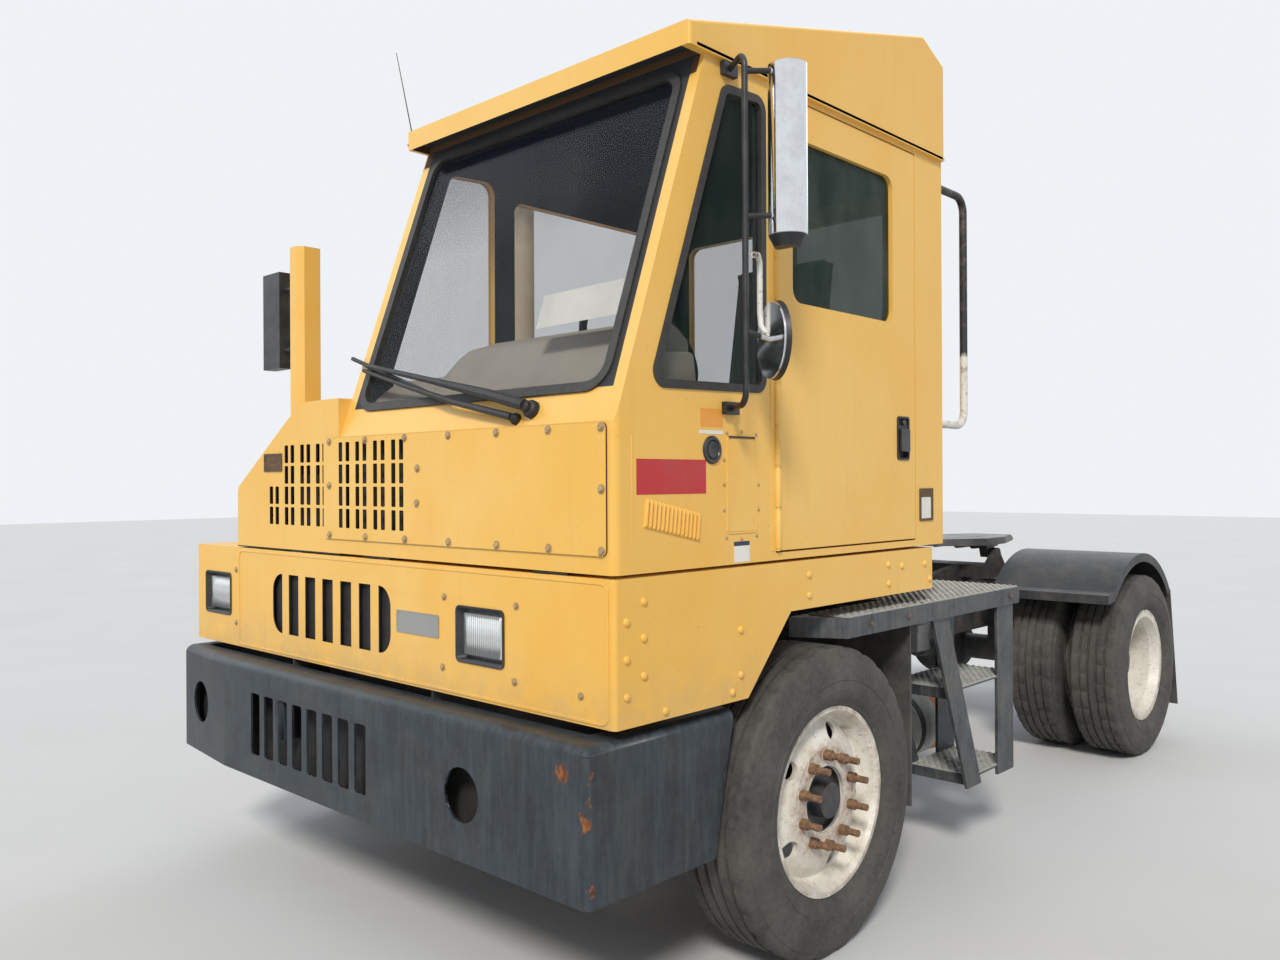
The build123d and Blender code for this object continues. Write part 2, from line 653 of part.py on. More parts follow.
hood_side = [(quarter[0][0] + 40, 1830), (quarter[1][0], 1830), quarter[2], quarter[3]]
window_corner = 45
side_window_y = (front_axle_y - 200, front_axle_y + 700)
side_window_z = (1830, 2600)
rear_window_x = (0, 420)
rear_window_z = (1900, 2560)


def rounded_prism(plane, points, corner, depth, mode=Mode.ADD, hole=0):
    """A prism with its corners rounded; a hole leaves only a frame that wide."""
    with BuildSketch(plane) as outline:
        with BuildLine():
            Polyline(*points, close=True)
        make_face()
        fillet(outline.vertices(), corner)
        if hole:
            offset(amount=-hole, mode=Mode.SUBTRACT)
    extrude(outline.sketch, amount=depth, mode=mode)


def window(y, z):
    """The four corners of an upright window in a side wall."""
    return [(y[0], z[0]), (y[1], z[0]), (y[1], z[1]), (y[0], z[1])]


def slot_grille(y, depth, columns):
    """Pairs of upright slots, cut rearward from a front face: x centre and rows of each pair."""
    with BuildSketch(facing(y + depth)) as slots:
        for x, rows in columns:
            for row in range(rows):
                with Locations((x - slot_pair / 2, slot_z + row * slot_pitch),
                               (x + slot_pair / 2, slot_z + row * slot_pitch)):
                    RectangleRounded(slot_w, slot_h, slot_r)
    extrude(slots.sketch, amount=depth + 20, mode=Mode.SUBTRACT)


def cab_outline(inset, floor, top):
    """The cab's side outline in Y and Z, drawn in from the outside by inset."""
    lean = inset / up_screen.Z
    return [(skirt_front_y + inset, floor), (skirt_front_y + inset, belt_z),
            (screen_base_y + lean + 7 * inset / 40, belt_z),
            (screen_base_y + lean + (top - belt_z) * screen_run / screen_rise, top),
            (cab_rear_y - inset, top), (cab_rear_y - inset, floor)]


# Slot grille of the hood and the front panel: x centre and rows of each pair
slot_columns = [(-554, 2), (-440, 4), (-326, 4), (-217, 4), (-57, 4), (48, 4), (155, 4), (260, 4)]
slot_w = 24
slot_h = 65
slot_r = 4
slot_pair = 44
slot_pitch = 75
slot_z = 1387
slot_area_x = (-610, 305)
slot_area_z = (1342, 1655)
panel_t = 6

with BuildPart() as cab_shell:
    prism(across(cab_right_x), cab_outline(0, cab_floor_z, roof_z), body_x - cab_right_x)
    fillet(front_edges(cab_shell, (body_x,), skirt_front_y), cab_corner_r)
    prism(across(cab_right_x + cab_wall), cab_outline(cab_wall, cab_floor_z + cab_wall, roof_z + 10),
          body_x - cab_right_x - 2 * cab_wall, Mode.SUBTRACT)
    # Windscreen
    with BuildSketch(screen_plane.offset(20)) as hole:
        with Locations((0, sum(screen_s) / 2)):
            RectangleRounded(screen_w, screen_s[1] - screen_s[0], screen_corner)
    extrude(hole.sketch, amount=-90, mode=Mode.SUBTRACT)
    # Driver's door and the quarter window ahead of it
    box((body_x - cab_wall - 20, body_x + 20), (door_y[0] - gap, door_y[1] + gap), (door_z[0] - gap, door_z[1] + gap),
        Mode.SUBTRACT)
    rounded_prism(across(body_x - cab_wall - 20), quarter, window_corner, cab_wall + 40, Mode.SUBTRACT)
    # Right side: a quarter window and a rear window, above the hood
    rounded_prism(across(cab_right_x - 20), hood_side, window_corner, cab_wall + 40, Mode.SUBTRACT)
    rounded_prism(across(cab_right_x - 20), window(side_window_y, side_window_z), window_corner, cab_wall + 40,
                  Mode.SUBTRACT)
    box((body_x, body_x + hinge_leaf), (hinge_y - 30, hinge_y - 4.8), door_z)
    # Back wall: sliding door and a window
    box(rear_door_x, (cab_rear_y - cab_wall - 20, cab_rear_y + 20), rear_door_z, Mode.SUBTRACT)
    rounded_prism(facing(cab_rear_y + 20), window(rear_window_x, rear_window_z), window_corner, cab_wall + 40,
                  Mode.SUBTRACT)
    # Air duct behind the front panel's slots, and the upper halves of the tilt hinges
    box((cab_right_x + cab_wall, slot_area_x[1]), (skirt_front_y - 1, skirt_front_y + cab_wall + 1), slot_area_z,
        Mode.SUBTRACT)
    for x in tilt_hinges_x:
        if x > cab_right_x:
            rod((x, tilt_y, tilt_z), (x + tilt_tube, tilt_y, tilt_z), tilt_r)
            box((x, x + tilt_tube), (tilt_y, tilt_y + 30), (cab_floor_z - 3, cab_floor_z + 1))

cab_shell.part.label = "cab_shell"
export_step(cab_shell.part, "parts/cab_shell.step")

# Roof cap: a wedge that rises to the rear, with a visor over the windscreen
roof_side = 15
roof_sheet = 20
visor_y = front_axle_y - 660
visor_top_z = 2772
ridge = (front_axle_y + 657, 3130)
roof_rear_z = 3062
roof_edge_r = 12

with BuildPart() as cab_roof:
    prism(across(cab_right_x), [(visor_y, roof_z), (visor_y, visor_top_z), ridge, (cab_rear_y, roof_rear_z),
                                (cab_rear_y, roof_z)], body_x + roof_side - cab_right_x)
    fillet([e for e in cab_roof.edges() if e.center().Z > roof_z + 10 and abs(e.center().X - body_x) < 20], roof_edge_r)
    prism(across(cab_right_x + roof_side + roof_sheet),
          [(screen_top_y + 40, roof_z - 1), (screen_top_y + 40, visor_top_z - roof_sheet),
           (ridge[0] - 12, ridge[1] - 35), (cab_rear_y - 30, roof_rear_z - 27), (cab_rear_y - 30, roof_z - 1)],
          body_x - cab_right_x - 2 * roof_sheet - roof_side, Mode.SUBTRACT)
    # Underside of the visor, open behind its lip
    box((cab_right_x + roof_sheet, body_x - roof_sheet), (visor_y + 5, screen_top_y - 8), (roof_z - 1, roof_z + 22),
        Mode.SUBTRACT)

cab_roof.part.label = "cab_roof"
export_step(cab_roof.part, "parts/cab_roof.step")

# Engine hood beside the cab
hood_sheet = 20
hood_folds = (32, 60, 60)
hood_outline = [(hood_right_x, cab_floor_z), (hood_right_x, hood_shoulder_z), (hood_knee_x, hood_knee_z),
                (hood_top_x, hood_top_z), (cab_right_x, hood_top_z), (cab_right_x, cab_floor_z)]
hood_inner = [(hood_right_x + hood_sheet, cab_floor_z - 1), (hood_right_x + hood_sheet, hood_shoulder_z - 11),
              (hood_knee_x + 9, hood_knee_z - hood_sheet + 2), (hood_top_x + 4, hood_top_z - hood_sheet),
              (cab_right_x - hood_sheet, hood_top_z - hood_sheet), (cab_right_x - hood_sheet, cab_floor_z - 1)]

with BuildPart() as engine_hood:
    for y, points, inset, mode in ((hood_rear_y, hood_outline, 0, Mode.ADD),
                                   (hood_rear_y - hood_sheet, hood_inner, hood_sheet, Mode.SUBTRACT)):
        with BuildSketch(facing(y)) as section:
            with BuildLine():
                Polyline(*points, close=True)
            make_face()
            for (x, z), radius in zip(points[1:4], hood_folds):
                fillet(section.vertices().sort_by_distance((x, y, z))[0], radius - inset)
        extrude(section.sketch, amount=y - skirt_front_y - inset, mode=mode)
    # Thin plate round the slots
    box((slot_area_x[0], cab_right_x - hood_sheet), (skirt_front_y + panel_t, skirt_front_y + hood_sheet + 1),
        (slot_area_z[0], hood_shoulder_z), Mode.SUBTRACT)
    box((slot_area_x[0] + 100, cab_right_x - hood_sheet), (skirt_front_y + panel_t, skirt_front_y + hood_sheet + 1),
        slot_area_z, Mode.SUBTRACT)
    slot_grille(skirt_front_y, hood_sheet + 5, slot_columns[:5])
    for x in tilt_hinges_x:
        if x < cab_right_x:
            rod((x, tilt_y, tilt_z), (x + tilt_tube, tilt_y, tilt_z), tilt_r)
            box((x, x + tilt_tube), (tilt_y, tilt_y + 15), (cab_floor_z - 3, cab_floor_z + 1))

engine_hood.part.label = "engine_hood"
export_step(engine_hood.part, "parts/engine_hood.step")

# Removable panel below the windscreen
panel_x = (-190, 1196)
panel_z = (1316, belt_z - 4)

with BuildPart() as front_panel:
    with BuildSketch(facing(skirt_front_y)) as plate:
        with Locations(((panel_x[0] + panel_x[1]) / 2, (panel_z[0] + panel_z[1]) / 2)):
            RectangleRounded(panel_x[1] - panel_x[0], panel_z[1] - panel_z[0], 16)
    extrude(plate.sketch, amount=panel_t)
    slot_grille(skirt_front_y - panel_t, 2 * panel_t, slot_columns[4:])

front_panel.part.label = "front_panel"
export_step(front_panel.part, "parts/front_panel.step")

# Windscreen with its rubber seal
seal_w = 28
glass_t = 6

with BuildPart() as screen_seal:
    with BuildSketch(screen_plane.offset(8)) as ring:
        with Locations((0, sum(screen_s) / 2)):
            RectangleRounded(screen_w, screen_s[1] - screen_s[0], screen_corner)
            RectangleRounded(screen_w - 2 * seal_w, screen_s[1] - screen_s[0] - 2 * seal_w, screen_corner - seal_w,
                             mode=Mode.SUBTRACT)
    extrude(ring.sketch, amount=-30)
    # Seal of the quarter window
    rounded_prism(across(body_x - 30), quarter, window_corner, 34, hole=24)

screen_seal.part.label = "screen_seal"
export_step(screen_seal.part, "parts/screen_seal.step")

with BuildPart() as windscreen:
    with BuildSketch(screen_plane.offset(-4)) as pane:
        with Locations((0, sum(screen_s) / 2)):
            RectangleRounded(screen_w - 2 * seal_w, screen_s[1] - screen_s[0] - 2 * seal_w, screen_corner - seal_w)
    extrude(pane.sketch, amount=-glass_t)

windscreen.part.label = "windscreen"
export_step(windscreen.part, "parts/windscreen.step")

with BuildPart() as cab_glass:
    with BuildSketch(across(body_x - 16)) as pane:
        with BuildLine():
            Polyline(*quarter, close=True)
        make_face()
        fillet(pane.vertices(), window_corner)
        offset(amount=-24, mode=Mode.REPLACE)
    extrude(pane.sketch, amount=glass_t)
    rounded_prism(across(cab_right_x + 10), hood_side, window_corner, glass_t)
    rounded_prism(across(cab_right_x + 10), window(side_window_y, side_window_z), window_corner, glass_t)
    rounded_prism(facing(cab_rear_y - 14), window(rear_window_x, rear_window_z), window_corner, glass_t)

cab_glass.part.label = "cab_glass"
export_step(cab_glass.part, "parts/cab_glass.step")

# Inside the cab
floor_top_z = cab_floor_z + cab_wall

wheel_centre = (720, front_axle_y - 330, 1930)
column_foot = (720, front_axle_y - 620, 1690)
column_r = 25
rim_radius = 215

dash_back_y = front_axle_y - 520
dash_foot_y = front_axle_y - 700

with BuildPart() as dashboard:
    prism(across(cab_right_x + cab_wall),
          [(skirt_front_y + cab_wall, floor_top_z), (skirt_front_y + cab_wall, belt_z - 5),
           (front_axle_y - 888, belt_z - 5), (front_axle_y - 865, belt_z + 60), (dash_back_y - 40, belt_z + 90),
           (dash_back_y, belt_z - 60), (dash_foot_y, belt_z - 160), (dash_foot_y, floor_top_z)],
          body_x - cab_right_x - 2 * cab_wall)
    # Binnacle behind the steering wheel
    prism(across(wheel_centre[0] - 200), [(dash_back_y - 200, belt_z + 50), (dash_back_y - 150, belt_z + 150),
                                          (dash_back_y - 60, belt_z + 150), (dash_back_y - 30, belt_z + 20)], 400)
    rod(column_foot, wheel_centre, column_r + seat, Mode.SUBTRACT)

dashboard.part.label = "dashboard"
export_step(dashboard.part, "parts/dashboard.step")

with BuildPart() as steering_wheel:
    rod(column_foot, wheel_centre, column_r)
    tilt = Plane(origin=wheel_centre, x_dir=(1, 0, 0), z_dir=Vector(*wheel_centre) - Vector(*column_foot))
    with BuildSketch(Plane(origin=wheel_centre, x_dir=(1, 0, 0), z_dir=tilt.y_dir)) as rim:
        with Locations((rim_radius, 0)):
            Circle(14)
    revolve(rim.sketch, axis=Axis(wheel_centre, tilt.z_dir))
    hub = Vector(*wheel_centre)
    for angle in (90, 210, 330):
        spoke = tilt.x_dir * (rim_radius * cos(radians(angle))) + tilt.y_dir * (rim_radius * sin(radians(angle)))
        rod(wheel_centre, tuple(hub + spoke), 11)
    rod(tuple(hub - tilt.z_dir * 25), tuple(hub + tilt.z_dir * 20), 45)

steering_wheel.part.label = "steering_wheel"
export_step(steering_wheel.part, "parts/steering_wheel.step")

seat_x = (480, 960)
seat_y = front_axle_y - 50
cushion_z = (1650, 1765)
backrest_top_z = 2360

with BuildPart() as driver_seat:
    with BuildSketch(across(seat_x[0])) as cushion:
        with Locations((seat_y + 245, sum(cushion_z) / 2)):
            RectangleRounded(490, cushion_z[1] - cushion_z[0], 40)
    extrude(cushion.sketch, amount=seat_x[1] - seat_x[0])
    rounded_prism(across(seat_x[0] + 20), [(seat_y + 410, cushion_z[1] - 60), (seat_y + 520, backrest_top_z),
                                           (seat_y + 620, backrest_top_z), (seat_y + 545, cushion_z[0])], 38,
                  seat_x[1] - seat_x[0] - 40)
    box((seat_x[0] + 90, seat_x[1] - 90), (seat_y + 80, seat_y + 430), (floor_top_z, cushion_z[0] + 10))

driver_seat.part.label = "driver_seat"
export_step(driver_seat.part, "parts/driver_seat.step")

# Left mirrors on their tubular bracket: a half-round housing over a round convex mirror
tube_x = 1330
tube_y = front_axle_y - 540
tube_z = (1720, 2690)
foot_run = 60
mirror_feet_z = (1715, 2682)
head_x = 1392
head_y = front_axle_y - 425
head_r = 55
head_z = (2190, 2665)
round_centre = (1365, front_axle_y - 456, 1898)
round_r = 106

with BuildPart() as left_mirror:
    with BuildLine() as frame_path:
        FilletPolyline((body_x + 10, tube_y + foot_run, mirror_feet_z[1]), (tube_x, tube_y, tube_z[1]),
                       (tube_x, tube_y, tube_z[0]), (body_x + 10, tube_y + foot_run, mirror_feet_z[0]), radius=40)
    with BuildSketch(Plane(origin=frame_path.line @ 0, z_dir=frame_path.line % 0)):
        Circle(9)
    sweep(path=frame_path.line)
    # Feet on the cab's side
    for z in mirror_feet_z:
        box((body_x + seat, body_x + 18), (tube_y + foot_run - 30, tube_y + foot_run + 30), (z - 18, z + 18))
    # Housing with its flat glass side to the rear, and a tapered underside
    with BuildSketch(Plane.XY.offset(head_z[0])) as housing:
        with Locations((head_x, head_y)):
            Circle(head_r)
        with Locations((head_x, head_y + head_r)):
            Rectangle(2 * head_r, 2 * head_r - 50, mode=Mode.SUBTRACT)
    extrude(housing.sketch, amount=head_z[1] - head_z[0])
    extrude(housing.sketch, amount=-32, taper=28)
    for z in (head_z[0] + 45, head_z[1] - 30):
        rod((tube_x, tube_y, z), (head_x, head_y - 20, z + 10), 8)
    # Convex mirror, turned outward
    look = Vector(0.54, 0.84, 0)
    middle = Vector(*round_centre)
    with BuildSketch(Plane(origin=tuple(middle - look * 12), z_dir=look)) as disc:
        Circle(round_r)
    extrude(disc.sketch, amount=20, taper=-15)
    rod((tube_x, tube_y, round_centre[2] + 20), tuple(middle), 8)

left_mirror.part.label = "left_mirror"
export_step(left_mirror.part, "parts/left_mirror.step")

with BuildPart() as grab_handle:
    with BuildLine() as path:
        FilletPolyline((1190, cab_rear_y, 1720), (1190, cab_rear_y + 240, 1720), (1190, cab_rear_y + 240, 2620),
                       (1190, cab_rear_y, 2620), radius=60)
    with BuildSketch(Plane(origin=path.line @ 0, z_dir=path.line % 0)):
        Circle(15)
    sweep(path=path.line)
    for z in (1720, 2620):
        box((1165, 1215), (cab_rear_y, cab_rear_y + 6), (z - 60, z + 60))

grab_handle.part.label = "grab_handle"
export_step(grab_handle.part, "parts/grab_handle.step")

# Driver's door
door_window_y = (front_axle_y - 157, front_axle_y + 452)
door_window_z = (2060, 2572)
handle_y = (front_axle_y + 476, front_axle_y + 560)
handle_z = (1578, 1733)
handle_depth = 18

with BuildPart() as driver_door:
    box((body_x - cab_wall, body_x), door_y, door_z)
    rounded_prism(across(body_x - cab_wall - 5), window(door_window_y, door_window_z), window_corner, cab_wall + 10,
                  Mode.SUBTRACT)
    # Recess for the latch handle
    with BuildSketch(across(body_x - handle_depth)) as recess:
        with Locations((sum(handle_y) / 2, sum(handle_z) / 2)):
            RectangleRounded(handle_y[1] - handle_y[0], handle_z[1] - handle_z[0], 12)
    extrude(recess.sketch, amount=handle_depth + 5, mode=Mode.SUBTRACT)
    # Piano hinge along the front edge
    rod((hinge_x, hinge_y, door_z[0]), (hinge_x, hinge_y, door_z[1]), hinge_r)
    box((body_x, body_x + hinge_leaf), (hinge_y, hinge_y + 28), door_z)

driver_door.part.label = "driver_door"
export_step(driver_door.part, "parts/driver_door.step")

with BuildPart() as door_handle:
    with BuildSketch(across(body_x - handle_depth)) as dish:
        with Locations((sum(handle_y) / 2, sum(handle_z) / 2)):
            RectangleRounded(handle_y[1] - handle_y[0], handle_z[1] - handle_z[0], 12)
    extrude(dish.sketch, amount=handle_depth + 4)
    with BuildSketch(across(body_x - handle_depth + 4)) as hollow:
        with Locations((sum(handle_y) / 2, sum(handle_z) / 2)):
            RectangleRounded(handle_y[1] - handle_y[0] - 14, handle_z[1] - handle_z[0] - 14, 8)
    extrude(hollow.sketch, amount=handle_depth + 5, mode=Mode.SUBTRACT)
    box((body_x - handle_depth + 3, body_x + 2), (handle_y[0] + 12, handle_y[1] - 12),
        (handle_z[0] + 30, handle_z[1] - 30))

door_handle.part.label = "door_handle"
export_step(door_handle.part, "parts/door_handle.step")

with BuildPart() as door_glass:
    rounded_prism(across(body_x - 22), window(door_window_y, door_window_z), window_corner, glass_t)

door_glass.part.label = "door_glass"
export_step(door_glass.part, "parts/door_glass.step")

# Sliding rear door, outside the back wall on two tracks
slide_travel = 500
rear_pane_x = (rear_door_x[0] + 60, rear_door_x[1] - 60)

with BuildPart() as rear_door:
    box((rear_door_x[0] - 30, rear_door_x[1] + 30), (cab_rear_y + gap, cab_rear_y + gap + 30),
        (rear_door_z[0] - 20, rear_door_z[1] + 20))
    rounded_prism(facing(cab_rear_y + 60), window(rear_pane_x, rear_window_z), window_corner, 60, Mode.SUBTRACT)

rear_door.part.label = "rear_door"
export_step(rear_door.part, "parts/rear_door.step")

with BuildPart() as rear_door_glass:
    rounded_prism(facing(cab_rear_y + gap + 16), window(rear_pane_x, rear_window_z), window_corner, glass_t)

rear_door_glass.part.label = "rear_door_glass"
export_step(rear_door_glass.part, "parts/rear_door_glass.step")

with BuildPart() as door_tracks:
    for z in (rear_door_z[0] - 20 - seat, rear_door_z[1] + 20 + seat + 14):
        box((rear_door_x[0] - 30 - slide_travel, rear_door_x[1] + 30), (cab_rear_y, cab_rear_y + 45), (z - 14, z))

door_tracks.part.label = "door_tracks"
export_step(door_tracks.part, "parts/door_tracks.step")

# Steering knuckles, one on each kingpin
ear_t = 36
spindle_r = 38
web_x = kingpin_x + 46


def knuckle(side):
    """Fork, kingpin, spindle and steering arm on one side."""
    x = side * kingpin_x
    low = eye_z[0] - 4 - ear_t
    high = eye_z[1] + 4
    for z in (low, high):
        box(sorted((x - side * 40, side * (web_x + 20))), (front_axle_y - 40, front_axle_y + 40), (z, z + ear_t))
    box(sorted((side * web_x, side * (web_x + 20))), (front_axle_y - 60, front_axle_y + 60), (low, high + ear_t))
    rod((x, front_axle_y, low), (x, front_axle_y, high + ear_t), kingpin_r)
    rod((side * web_x, front_axle_y, hub_z), (side * (front_wheel_x + 60), front_axle_y, hub_z), spindle_r)
    # Steering arm back to the tie rod
    prism(Plane.XY.offset(low), [(x - side * 40, front_axle_y), (x + side * 30, front_axle_y),
                                 (side * (steer_arm_x + 22), steer_arm_y), (side * (steer_arm_x + 22), steer_arm_y + 22),
                                 (side * (steer_arm_x - 22), steer_arm_y + 22), (side * (steer_arm_x - 22), steer_arm_y)],
          22)


with BuildPart() as knuckle_left:
    knuckle(1)

knuckle_left.part.label = "knuckle_left"
export_step(knuckle_left.part, "parts/knuckle_left.step")

with BuildPart() as knuckle_right:
    knuckle(-1)

knuckle_right.part.label = "knuckle_right"
export_step(knuckle_right.part, "parts/knuckle_right.step")

arm_bottom_z = eye_z[0] - 4 - ear_t

with BuildPart() as tie_rod:
    rod((-steer_arm_x, steer_arm_y, arm_bottom_z - 30), (steer_arm_x, steer_arm_y, arm_bottom_z - 30), 17)
    for side in (1, -1):
        rod((side * steer_arm_x, steer_arm_y, arm_bottom_z - 50), (side * steer_arm_x, steer_arm_y, arm_bottom_z - seat), 22)

tie_rod.part.label = "tie_rod"
export_step(tie_rod.part, "parts/tie_rod.step")


# Wheels
def tyre(x, y):
    """A tyre with its middle at x."""
    with BuildSketch(Plane.XY.offset(hub_z)) as section:
        with BuildLine():
            tread = Line((x - tread_half, y + tyre_r), (x + tread_half, y + tyre_r))
            shoulder = Line(tread @ 1, (x + shoulder_half, y + tyre_r - 20))
            wall = ThreePointArc(shoulder @ 1, (x + tyre_half, y + 392), (x + bead_half, y + flange_r + 1))
            Line(wall @ 1, (x + bead_half, y + bead_r))
            Line((x + bead_half, y + bead_r), (x - bead_half, y + bead_r))
            Line((x - bead_half, y + bead_r), (x - bead_half, y + flange_r + 1))
            wall_2 = ThreePointArc((x - bead_half, y + flange_r + 1), (x - tyre_half, y + 392),
                                   (x - shoulder_half, y + tyre_r - 20))
            Line(wall_2 @ 1, tread @ 0)
        make_face()
    revolve(section.sketch, axis=Axis((x, y, hub_z), (1, 0, 0)))


def ring(outline, x, y, side, mode=Mode.ADD):
    """A turned form round a wheel's axis: pairs of outward distance and radius."""
    with BuildSketch(Plane.XY.offset(hub_z)) as section:
        with BuildLine():
            Polyline(*[(x + side * a, y + r) for a, r in outline], close=True)
        make_face()
    revolve(section.sketch, axis=Axis((x, y, hub_z), (1, 0, 0)), mode=mode)


def bolt_circle(x, y, side, radius, hole_r, count, depth, start=0.0, mode=Mode.SUBTRACT):
    """Round holes or studs on a circle of a wheel, from x outward."""
    face = Plane(origin=(x, y, hub_z), x_dir=(0, side, 0), z_dir=(side, 0, 0))
    with BuildSketch(face) as holes:
        with PolarLocations(radius, count, start):
            Circle(hole_r)
    extrude(holes.sketch, amount=depth, mode=mode)


rim_r = bead_r - seat
nut_circle = 143
nut_count = 10
hand_hole_r = 30
hand_hole_circle = 212
# Outward distance and radius round the front rim: barrel, dished disc, hub
rim_outline = [(-bead_half - 10, 262), (-bead_half - 10, flange_r), (-bead_half - seat, flange_r),
               (-bead_half - seat, rim_r), (bead_half + seat, rim_r), (bead_half + seat, flange_r),
               (bead_half + 10, flange_r), (bead_half + 10, 284), (bead_half - 4, 276), (44, 262), (38, 254),
               (62, 220), (79, 182), (84, 168), (84, 106), (72, 106), (72, 100), (58, 100), (58, 60), (104, 56),
               (108, 0), (62 + seat, 0), (62 + seat, 38 + seat), (-75, 38 + seat), (-75, 120), (40, 120),
               (58, 172), (50, 214), (28, 246), (-60, 262)]

for name, side in (("left", 1), ("right", -1)):
    with BuildPart() as front_tyre:
        tyre(side * front_wheel_x, front_axle_y)

    front_tyre.part.label = f"front_tyre_{name}"
    export_step(front_tyre.part, f"parts/front_tyre_{name}.step")

    with BuildPart() as front_rim:
        ring(rim_outline, side * front_wheel_x, front_axle_y, side)
        bolt_circle(side * (front_wheel_x + 20), front_axle_y, side, hand_hole_circle, hand_hole_r, 5, 60)
        bolt_circle(side * (front_wheel_x + 80), front_axle_y, side, nut_circle, 17, nut_count, 30, 18, Mode.ADD)
        bolt_circle(side * (front_wheel_x + 80), front_axle_y, side, nut_circle, 11, nut_count, 74, 18, Mode.ADD)

    front_rim.part.label = f"front_rim_{name}"
    export_step(front_rim.part, f"parts/front_rim_{name}.step")

half_pair = twin_spacing / 2
outer_rim = [(half_pair + bead_half + 10, 262), (half_pair + bead_half + 10, flange_r),
             (half_pair + bead_half + seat, flange_r), (half_pair + bead_half + seat, rim_r),
             (half_pair - bead_half - seat, rim_r), (half_pair - bead_half - seat, flange_r),
             (half_pair - bead_half - 10, flange_r), (half_pair - bead_half - 10, 262)]
inner_rim = [(-a, r) for a, r in reversed(outer_rim)]
hub_outline = [(170, 0), (170, 90), (14, 100), (14, 256), (-14, 256), (-14, 215), (-60, 205),
               (-235, 205), (-235, rear_spindle_r + seat), (rear_spindle_x - twin_x + seat, rear_spindle_r + seat),
               (rear_spindle_x - twin_x + seat, 0)]

for name, side in (("left", 1), ("right", -1)):
    with BuildPart() as rear_tyres:
        tyre(side * (twin_x + half_pair), rear_axle_y)
        tyre(side * (twin_x - half_pair), rear_axle_y)

    rear_tyres.part.label = f"rear_tyres_{name}"
    export_step(rear_tyres.part, f"parts/rear_tyres_{name}.step")

    with BuildPart() as rear_rims:
        ring(outer_rim + [(10, 262), (10, 248), (half_pair + 60, 248)], side * twin_x, rear_axle_y, side)
        ring(inner_rim + [(-half_pair - 60, 248), (-10, 248), (-10, 262)], side * twin_x, rear_axle_y, side)
        ring(hub_outline, side * twin_x, rear_axle_y, side)
        bolt_circle(side * (twin_x - 40), rear_axle_y, side, hand_hole_circle - 10, hand_hole_r - 2, 5, 90)
        bolt_circle(side * (twin_x + 10), rear_axle_y, side, nut_circle, 17, nut_count, 36, 18, Mode.ADD)

    rear_rims.part.label = f"rear_rims_{name}"
    export_step(rear_rims.part, f"parts/rear_rims_{name}.step")

# Lift boom that carries the fifth wheel
fifth_y = rear_axle_y - 180
fifth_pin_z = 1070
fifth_pin_r = 20
arm_x = (225, 270)
lug_r = 36
saddle_z = (fifth_pin_z - 135, fifth_pin_z - 62)
rod_pin_y = front_axle_y + 2800
rod_pin_z = 900
rod_pin_r = 18
eye_play = 9.5

with BuildPart() as lift_boom:
    rod((-rail_x + 12, pivot_y, pivot_z), (rail_x - 12, pivot_y, pivot_z), pivot_tube_r)
    for side in (1, -1):
        left = min(side * arm_x[0], side * arm_x[1])
        prism(across(left), [(pivot_y - 70, pivot_z - 60), (pivot_y + 80, pivot_z - 60),
                             (fifth_y - 250, rod_pin_z - 50), (fifth_y + 90, saddle_z[0]),
                             (fifth_y + 90, saddle_z[1]), (fifth_y - 140, saddle_z[1]),
                             (pivot_y + 60, pivot_z + 60), (pivot_y - 70, pivot_z + 60)], arm_x[1] - arm_x[0])
        ear = min(side * 405, side * 445)
        with BuildSketch(across(ear)) as lug:
            with Locations((fifth_y, fifth_pin_z)):
                Circle(lug_r)
            with BuildLine():
                Polyline((fifth_y - 110, saddle_z[1] - 25), (fifth_y + 90, saddle_z[1] - 25),
                         (fifth_y + 90, saddle_z[1]), (fifth_y + lug_r, fifth_pin_z),
                         (fifth_y - lug_r, fifth_pin_z), (fifth_y - 110, saddle_z[1]), close=True)
            make_face()
        extrude(lug.sketch, amount=40)
    box((-445, 445), (fifth_y - 120, fifth_y + 90), saddle_z)
    rod((-arm_x[1], rod_pin_y, rod_pin_z), (arm_x[1], rod_pin_y, rod_pin_z), rod_pin_r)
    rod((-450, fifth_y, fifth_pin_z), (450, fifth_y, fifth_pin_z), fifth_pin_r + seat, Mode.SUBTRACT)

lift_boom.part.label = "lift_boom"
export_step(lift_boom.part, "parts/lift_boom.step")

# Fifth wheel plate with its throat and kingpin seat
plate_z = (1128, 1168)
plate_half_w = 455
plate_front = 420
plate_rear = 470
kingpin_seat_r = 25.4

